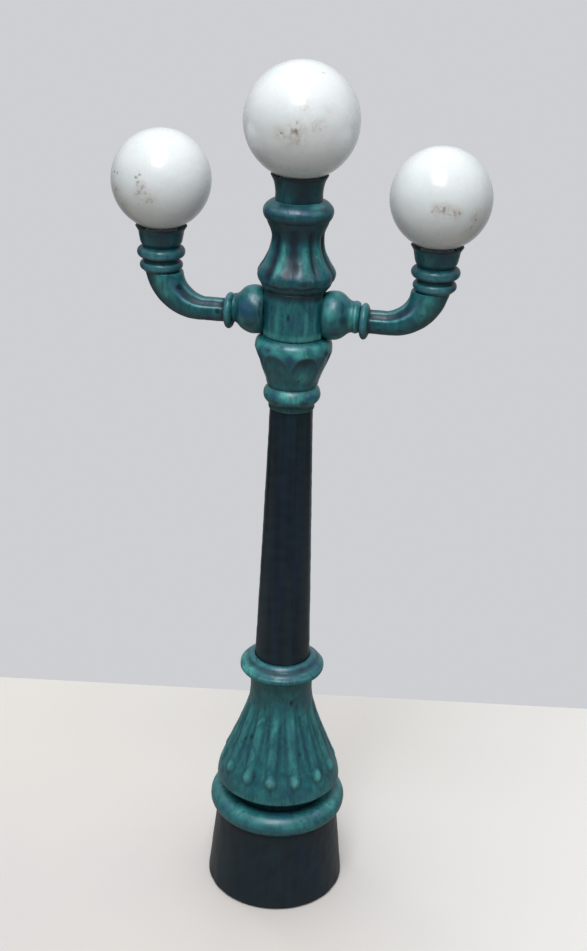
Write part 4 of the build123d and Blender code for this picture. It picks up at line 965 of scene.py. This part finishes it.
def build_arm(name, side):
    """The flange and the swept tube, with one shallow flute between its top and its front."""
    node = "arm_" + name
    x, z, heading, radius = arm_path().T
    flange, flange_x = 8.2, 30.4 + 0.9 * side
    bulge = np.clip(1 - ((x - flange_x) / 2.0) ** 2, 0, 1) ** 0.55 * (heading == 0)
    radius = radius + (flange - radius) * bulge
    t = np.radians(heading)
    angle = np.linspace(0, 2 * math.pi, 132, endpoint=False)
    up = np.stack([-side * np.sin(t), 0 * t, np.cos(t)], -1)
    front = np.array([0, -1.0, 0])
    outward = up[:, None] * np.cos(angle)[None, :, None] + front * np.sin(angle)[None, :, None]
    centre = np.stack([side * x, 0 * x, z], -1)
    x, heading = x[:, None], heading[:, None]
    lift = np.degrees(angle)[None, :]
    flute_lift = 47         # degrees round from the top towards the front
    off = lift - flute_lift
    clear = smooth(flange_x + 2.2, flange_x + 3.2, x) * (1 - smooth(36, 66, heading))
    flute = -0.62 * hump(off, 15, 3.5) * clear
    lips = 0.12 * (hump(off - 23, 6) + hump(off + 23, 6)) * clear
    rows = centre[:, None] + outward * (radius[:, None] + flute + lips)[..., None]
    rows = rows + outward * unevenness(rows, 0.08, 53 + side)[..., None]
    bore = centre[::-1, None] + outward[::-1] * 2.9
    for ends in (rows, bore):
        ends[..., 2] = np.minimum(ends[..., 2], ARM_TOP)
    groove = hump(off, 15, 4) * clear
    # Painted highlights along the flute's two lips, past the flute at the bend, on the front of the bend and
    # on the flange's top; painted shade along the underside.
    lower_lip_highlight, upper_lip_highlight = hump(off - 21, 5) * clear, hump(off + 22, 5) * clear
    beyond = hump(off - 14, 13) * between(heading, 20, 45, 64, 72)
    under = 0.5 * smooth(95, 150, np.minimum(lift, 360 - lift))
    elbow_highlight = smooth(38, 58, heading) * hump(lift - 92, 22)
    flange_top_highlight = (hump(x - flange_x + 0.6 * side, 0.9) * (heading == 0)
                  * smooth(-0.2, 0.7, np.cos(np.radians(lift - 60))))
    masks = coat(
        rows, 0.92, spots,
        rubbed=0.85 * lower_lip_highlight + 0.55 * upper_lip_highlight + 0.40 * flange_top_highlight + 0.55 * elbow_highlight,
        blued=(0.5 * groove + 0.35 * flange_top_highlight + 0.7 * beyond,
               [((-36, -4, 299.5), (5, 4, 2), 0.5), ((30, -5, 297), (2, 5, 4), 0.6)]),
        paled=0.50 * lower_lip_highlight + 0.35 * upper_lip_highlight + 0.3 * beyond + 0.2 * flange_top_highlight,
        stained=(0.72 * groove + under,
                 [((-51.8, -6.5, 314.0), (1.1, 4, 1.4), 1.0), ((-51.0, -6.5, 313.0), (1.0, 4, 0.8), 0.7),
                  ((-38.5, -4.2, 300.2), (3.0, 4, 0.8), 0.4), ((47.5, -5.0, 302.0), (2.5, 4, 1.0), 0.4)]))
    place(grid_mesh(node + "_cast", rows, outward, bore, True, masks), node)


def build_arm_collar(name, side):
    skin = joined(line([(6.5, 0), (7.9, 0), (8.2, 0.6)], 0.4), arc((7.55, 2.6), 2.05, -68, 78, 0.3),
                  curve([(7.95, 4.75), (7.75, 5.5), (8.05, 6.15)], 0.3), arc((8.25, 8.6), 2.5, -82, 62, 0.3),
                  curve([(9.35, 10.85), (8.8, 11.05), (8.4, 11.2)], 0.3), soften=1)
    core = [(NIPPLE_BORE, 11.2), (NIPPLE_BORE, 5.5), (5.1, 5.5), (5.1, 0)]

    def masks(angle, z, up, rows):
        # Painted highlights as two bands across the front of the rings; painted shade towards the flanks and
        # under the cup at the top; darker in the waist between the rings, and bluer away from the front.
        front = hump(angle - 4, 48)
        highlight_bands = hump(z - 8.0, 0.9) + 0.8 * hump(z - 2.0, 0.7)
        side_shade = smooth(0.55, 1.0, np.abs(np.sin(np.radians(angle))))
        return coat(
            rows, 0.9,
            rubbed=0.35 * highlight_bands * front + 0.2 * hump(z - 10, 1.2),
            blued=0.45 * (1 - front) + 0.3 * highlight_bands,
            paled=0.42 * highlight_bands * front,
            stained=0.75 * hump(z - 5.4, 0.8) + 0.25 * smooth(9.8, 10.8, z) + 0.35 * side_shade)

    turned("arm_collar_" + name, skin, core, 150, masks=masks, seed=61 + side, swell=0.07)


# ---- Globes and bulbs ----
# Each mark on a globe is an azimuth from the front, an elevation, a spread in degrees and a strength.

SCUFFS = {
    "centre": ((2, -3, 10, 1.0), (-9, -3, 7, 0.8), (24, 5, 7, 0.6), (11, 22, 6, 0.35), (5, -10, 7, 0.5),
               (35, 20, 7, 0.25)),
    "left": ((-8, -1, 6, 1.0), (-12, -6, 6, 0.8), (0, -10, 6, 0.7), (-48, -8, 6, 0.5), (-36, -22, 7, 0.4)),
    "right": ((0, 0, 6, 0.8), (9, 0, 6, 1.0), (19, -3, 6, 0.9), (45, -9, 6, 0.9), (43, -24, 7, 0.5)),
}
CHIPS = {
    "centre": ((-10, -3, 1.6, 0.75), (2, -1, 2.6, 0.5), (5, -3, 1.8, 0.35), (4, 7, 1.8, 0.4),
               (10, 30, 1.8, 0.25), (13, 28, 1.6, 0.2), (11, 19, 1.5, 0.3), (46, 58, 1.6, 0.5),
               (49, 58, 1.4, 0.4)),
    "left": ((-54, 12, 2.0, 0.7), (-46, 12, 1.9, 0.6), (-15, 12, 2.6, 0.8), (-11, 15, 1.9, 0.65),
             (-13, 7, 2.0, 0.65), (-13, 4, 1.5, 0.5), (-4, -4, 1.7, 0.4), (-2, -15, 1.7, 0.45),
             (3, -14, 1.7, 0.5), (-13, -19, 1.5, 0.25)),
    "right": ((-6, -2, 1.8, 0.4), (6, 2, 2.2, 0.55), (13, -5, 1.8, 0.5), (24, -3, 2.3, 0.65),
              (18, -5, 1.4, 0.4), (46, -12, 2.6, 0.5), (45, -7, 1.9, 0.35)),
}


def build_globe(name):
    """A blown globe with a thin neck; its wall is real, so it stays a shell when it is lifted."""
    node, body = "globe_" + name, name + "_globe"
    low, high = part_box(node)
    radius = (high.x - low.x) / 2 / MM
    centre_z = (high.z - low.z) / MM - radius
    neck = 8.7 if name == "centre" else 7.2
    bore, inner = neck - 1.3, radius - 1.6

    def opening(hole, ball):
        """Where a neck meets a ball: degrees from the lowest point, and the height."""
        turn = math.asin(hole / ball)
        return math.degrees(turn), centre_z - ball * math.cos(turn)

    opens, lip_z = opening(neck, radius)
    opens_in, bore_z = opening(bore, inner)
    outside = joined(line([(neck, 0), (neck, lip_z)], 0.6),
                     arc((0, centre_z), radius, opens - 90, 90, 0.9), soften=1)
    inside = joined(arc((0, centre_z), inner, 90, opens_in - 90, 1.4),
                    line([(bore, bore_z), (bore, 0)], 0.8), soften=0)
    middle = (low + high) / 2
    glass = opal_glass("opal_glass_" + name, (middle.x, middle.y, high.z - radius * MM), SCUFFS[name],
                       CHIPS[name])
    turned(node, np.vstack([inside, outside]), [], 144, seed=71, wrap=False, slot="opal_glass", body=body,
           material=glass)


def build_bulb_glass(name):
    """Thin clear glass; a post carries a filament inside."""
    node, body = "bulb_glass_" + name, name + "_bulb"
    low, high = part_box(node)
    widest = (high.x - low.x) / 2 / MM
    ball = (high.z - low.z) / MM - widest
    outer = joined(curve([(4.0, 0), (4.05, 2.5), (4.6, 6.5), (widest, ball)], 0.5),
                   arc((0, ball), widest, 0, 90, 0.5))
    turned(node, np.vstack([[(0.0, 0), (3.6, 0)], outer]), [], 56, seed=73, wrap=False, slot="clear_glass",
           body=body)
    middle = (low + high) / 2
    build_filament(name, Vector((middle.x, middle.y, low.z)), body)


def build_filament(name, foot, body):
    """Two leads and a coiled filament between them."""
    turns, per_turn = 9, 10
    end_x, coil_r, coil_z = 2.2, 0.45, 9.0
    lead = [(1.2, 0, 0.4), (1.5, 0, 4.0), (end_x, 0, 8.6)]
    path = [(-x, y, z) for x, y, z in lead]
    for k in range(turns * per_turn + 1):
        t = k / (turns * per_turn)
        a = 2 * math.pi * turns * t
        path.append((-end_x + 2 * end_x * t, coil_r * math.sin(a),
                     coil_z + coil_r * math.cos(a) + 0.8 * math.sin(math.pi * t)))
    path += lead[::-1]
    data = bpy.data.curves.new("bulb_filament_" + name, "CURVE")
    data.dimensions = "3D"
    data.bevel_depth = 0.11 * MM
    data.bevel_resolution = 2
    spline = data.splines.new("POLY")
    spline.points.add(len(path) - 1)
    for point, (x, y, z) in zip(spline.points, path):
        point.co = (foot.x + x * MM, foot.y + y * MM, foot.z + z * MM, 1)
    piece = added(data)
    data.materials.append(filament_wire())
    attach(piece, body)


# ---- Stage ----

def build_stage():
    """A pale table top; past its back edge the backdrop shows."""
    mesh = bpy.data.meshes.new("table_top")
    bm = bmesh.new()
    corners = [(-1.2, -1.2), (1.2, -1.2), (1.2, 0.313), (-1.2, 0.032)]
    bm.faces.new([bm.verts.new((x, y, 0.0)) for x, y in corners])
    bm.to_mesh(mesh)
    bm.free()
    f = Finish("table_top")
    stain = f.noise(5, 4, 0.6)
    fine = f.noise(420, 3, 0.6)
    depth = f.add("ShaderNodeSeparateXYZ")
    f.feed(depth.inputs[0], f.place)
    color = f.mix(f.span(depth.outputs["Y"], -0.20, 0.15), srgb(222, 216, 213), srgb(246, 241, 233))
    color = f.mix(f.span(stain, 0.45, 0.65, 0, 0.35), color, srgb(246, 238, 226))
    color = f.mix(f.span(fine, 0.35, 0.7, 0, 0.2), color, srgb(236, 230, 222))
    color = f.mix(f.span(depth.outputs["X"], 0.02, 0.18, 0, 0.7), color, srgb(255, 252, 246))
    seen = f.add("ShaderNodeLightPath").outputs["Is Camera Ray"]
    color = f.mix(seen, srgb(150, 145, 138), color)
    mesh.materials.append(f.done(color, f.span(fine, 0.3, 0.7, 0.5, 0.65), f.bump(fine, 0.0001, 0.2)))
    table = added(mesh)


def build_world():
    """Even soft light from a pale room, dimmer from below the table; the camera sees a plain backdrop."""
    world = bpy.data.worlds.new("studio")
    bpy.context.scene.world = world
    w = Nodes(world)
    backdrop = w.tree.nodes["Background"]
    backdrop.inputs["Color"].default_value = srgb(206, 207, 211)
    split = w.add("ShaderNodeSeparateXYZ")
    w.feed(split.inputs[0], w.add("ShaderNodeTexCoord").outputs["Generated"])
    ramp = w.add("ShaderNodeValToRGB")
    w.feed(ramp.inputs["Fac"], w.span(split.outputs["Z"], -1, 1))
    low, high = ramp.color_ramp.elements
    low.position, low.color = 0.42, (0.06, 0.06, 0.06, 1)
    high.position, high.color = 1.0, (0.86, 0.88, 0.92, 1)
    side = ramp.color_ramp.elements.new(0.55)
    side.color = (0.15, 0.155, 0.165, 1)
    wall = w.math("MULTIPLY", w.span(split.outputs["Y"], 0.55, 0.95), w.span(split.outputs["Z"], 0.5, 0.2))
    lighting = w.add("ShaderNodeBackground")
    w.feed(lighting.inputs["Color"], w.mix(wall, ramp.outputs["Color"], (0.50, 0.51, 0.53, 1)))
    mixed = w.add("ShaderNodeMixShader")
    w.feed(mixed.inputs["Fac"], w.add("ShaderNodeLightPath").outputs["Is Camera Ray"])
    w.feed(mixed.inputs[1], lighting.outputs[0])
    w.feed(mixed.inputs[2], backdrop.outputs[0])
    w.feed(w.tree.nodes["World Output"].inputs["Surface"], mixed.outputs[0])


def add_light(name, azimuth, elevation, distance, size, power, tint, shown=True):
    """A soft lamp aimed at the middle of the post and placed by angles from the front. It shows in
    reflections only if shown; size is its width and height."""
    data = bpy.data.lights.new(name, "AREA")
    data.shape = "RECTANGLE"
    data.size, data.size_y = size
    data.energy = power
    data.color = tint
    lamp = added(data)
    lamp.visible_glossy = shown
    aim = Vector((0, 0, CAD_BOX[1].z * 0.55))
    a, e = math.radians(azimuth), math.radians(elevation)
    back = Vector((math.sin(a) * math.cos(e), -math.cos(a) * math.cos(e), math.sin(e)))
    lamp.location = aim + back * distance
    lamp.rotation_mode = "QUATERNION"
    lamp.rotation_quaternion = (-back).to_track_quat("-Z", "Y")


def add_camera():
    """Seen from above the front, a little to the right; the numbers fit the post's perspective."""
    data = bpy.data.cameras.new("view")
    data.lens = 54.5
    data.sensor_width = 36
    camera = added(data)
    distance, height, turn = 0.6168, 0.4939, math.radians(8.594)
    camera.location = (distance * math.sin(turn), -distance * math.cos(turn), height)
    pan, tilt, roll = math.radians(0.20) - turn, math.radians(-23.497), math.radians(-2.181)
    ahead = Vector((math.sin(pan) * math.cos(tilt), math.cos(pan) * math.cos(tilt), math.sin(tilt)))
    right = ahead.cross(Vector((0, 0, 1))).normalized()
    above = right.cross(ahead)
    rolled_right = right * math.cos(roll) - above * math.sin(roll)
    rolled_up = right * math.sin(roll) + above * math.cos(roll)
    camera.rotation_euler = Matrix((rolled_right, rolled_up, -ahead)).transposed().to_euler()
    data.clip_start = 0.02
    bpy.context.scene.camera = camera


# ---- Build ----

bpy.context.scene.view_settings.view_transform = "Standard"

for cad_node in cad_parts.values():
    cad_slot = cad_node.data.materials[0].name.split(".")[0]
    if cad_slot in FINISHES:
        cad_node.data.materials[0] = FINISHES[cad_slot]

build_plinth()
build_base_ring()
build_bell()
build_collar()
build_shaft()
build_bead()
build_capital()
build_hub()
build_vase()
build_cap_ring()
build_top_cup()
for side_name, side_sign in SIDES:
    build_boss(side_name, side_sign)
    build_arm(side_name, side_sign)
    build_arm_collar(side_name, side_sign)
    build_side_cup(side_name, side_sign)
for lamp_name in ("left", "centre", "right"):
    build_globe(lamp_name)
    build_bulb_glass(lamp_name)

build_stage()
build_world()
add_light("key", -2, 62, 0.95, (0.30, 0.50), 4.4, (0.96, 0.98, 1.0))
add_light("far_left", -128, 24, 1.2, (0.3, 0.8), 1.1, (0.98, 0.98, 1.0), shown=False)
add_light("window", 8, 50, 1.3, (0.14, 0.20), 0.8, (0.92, 0.96, 1.0))
add_camera()
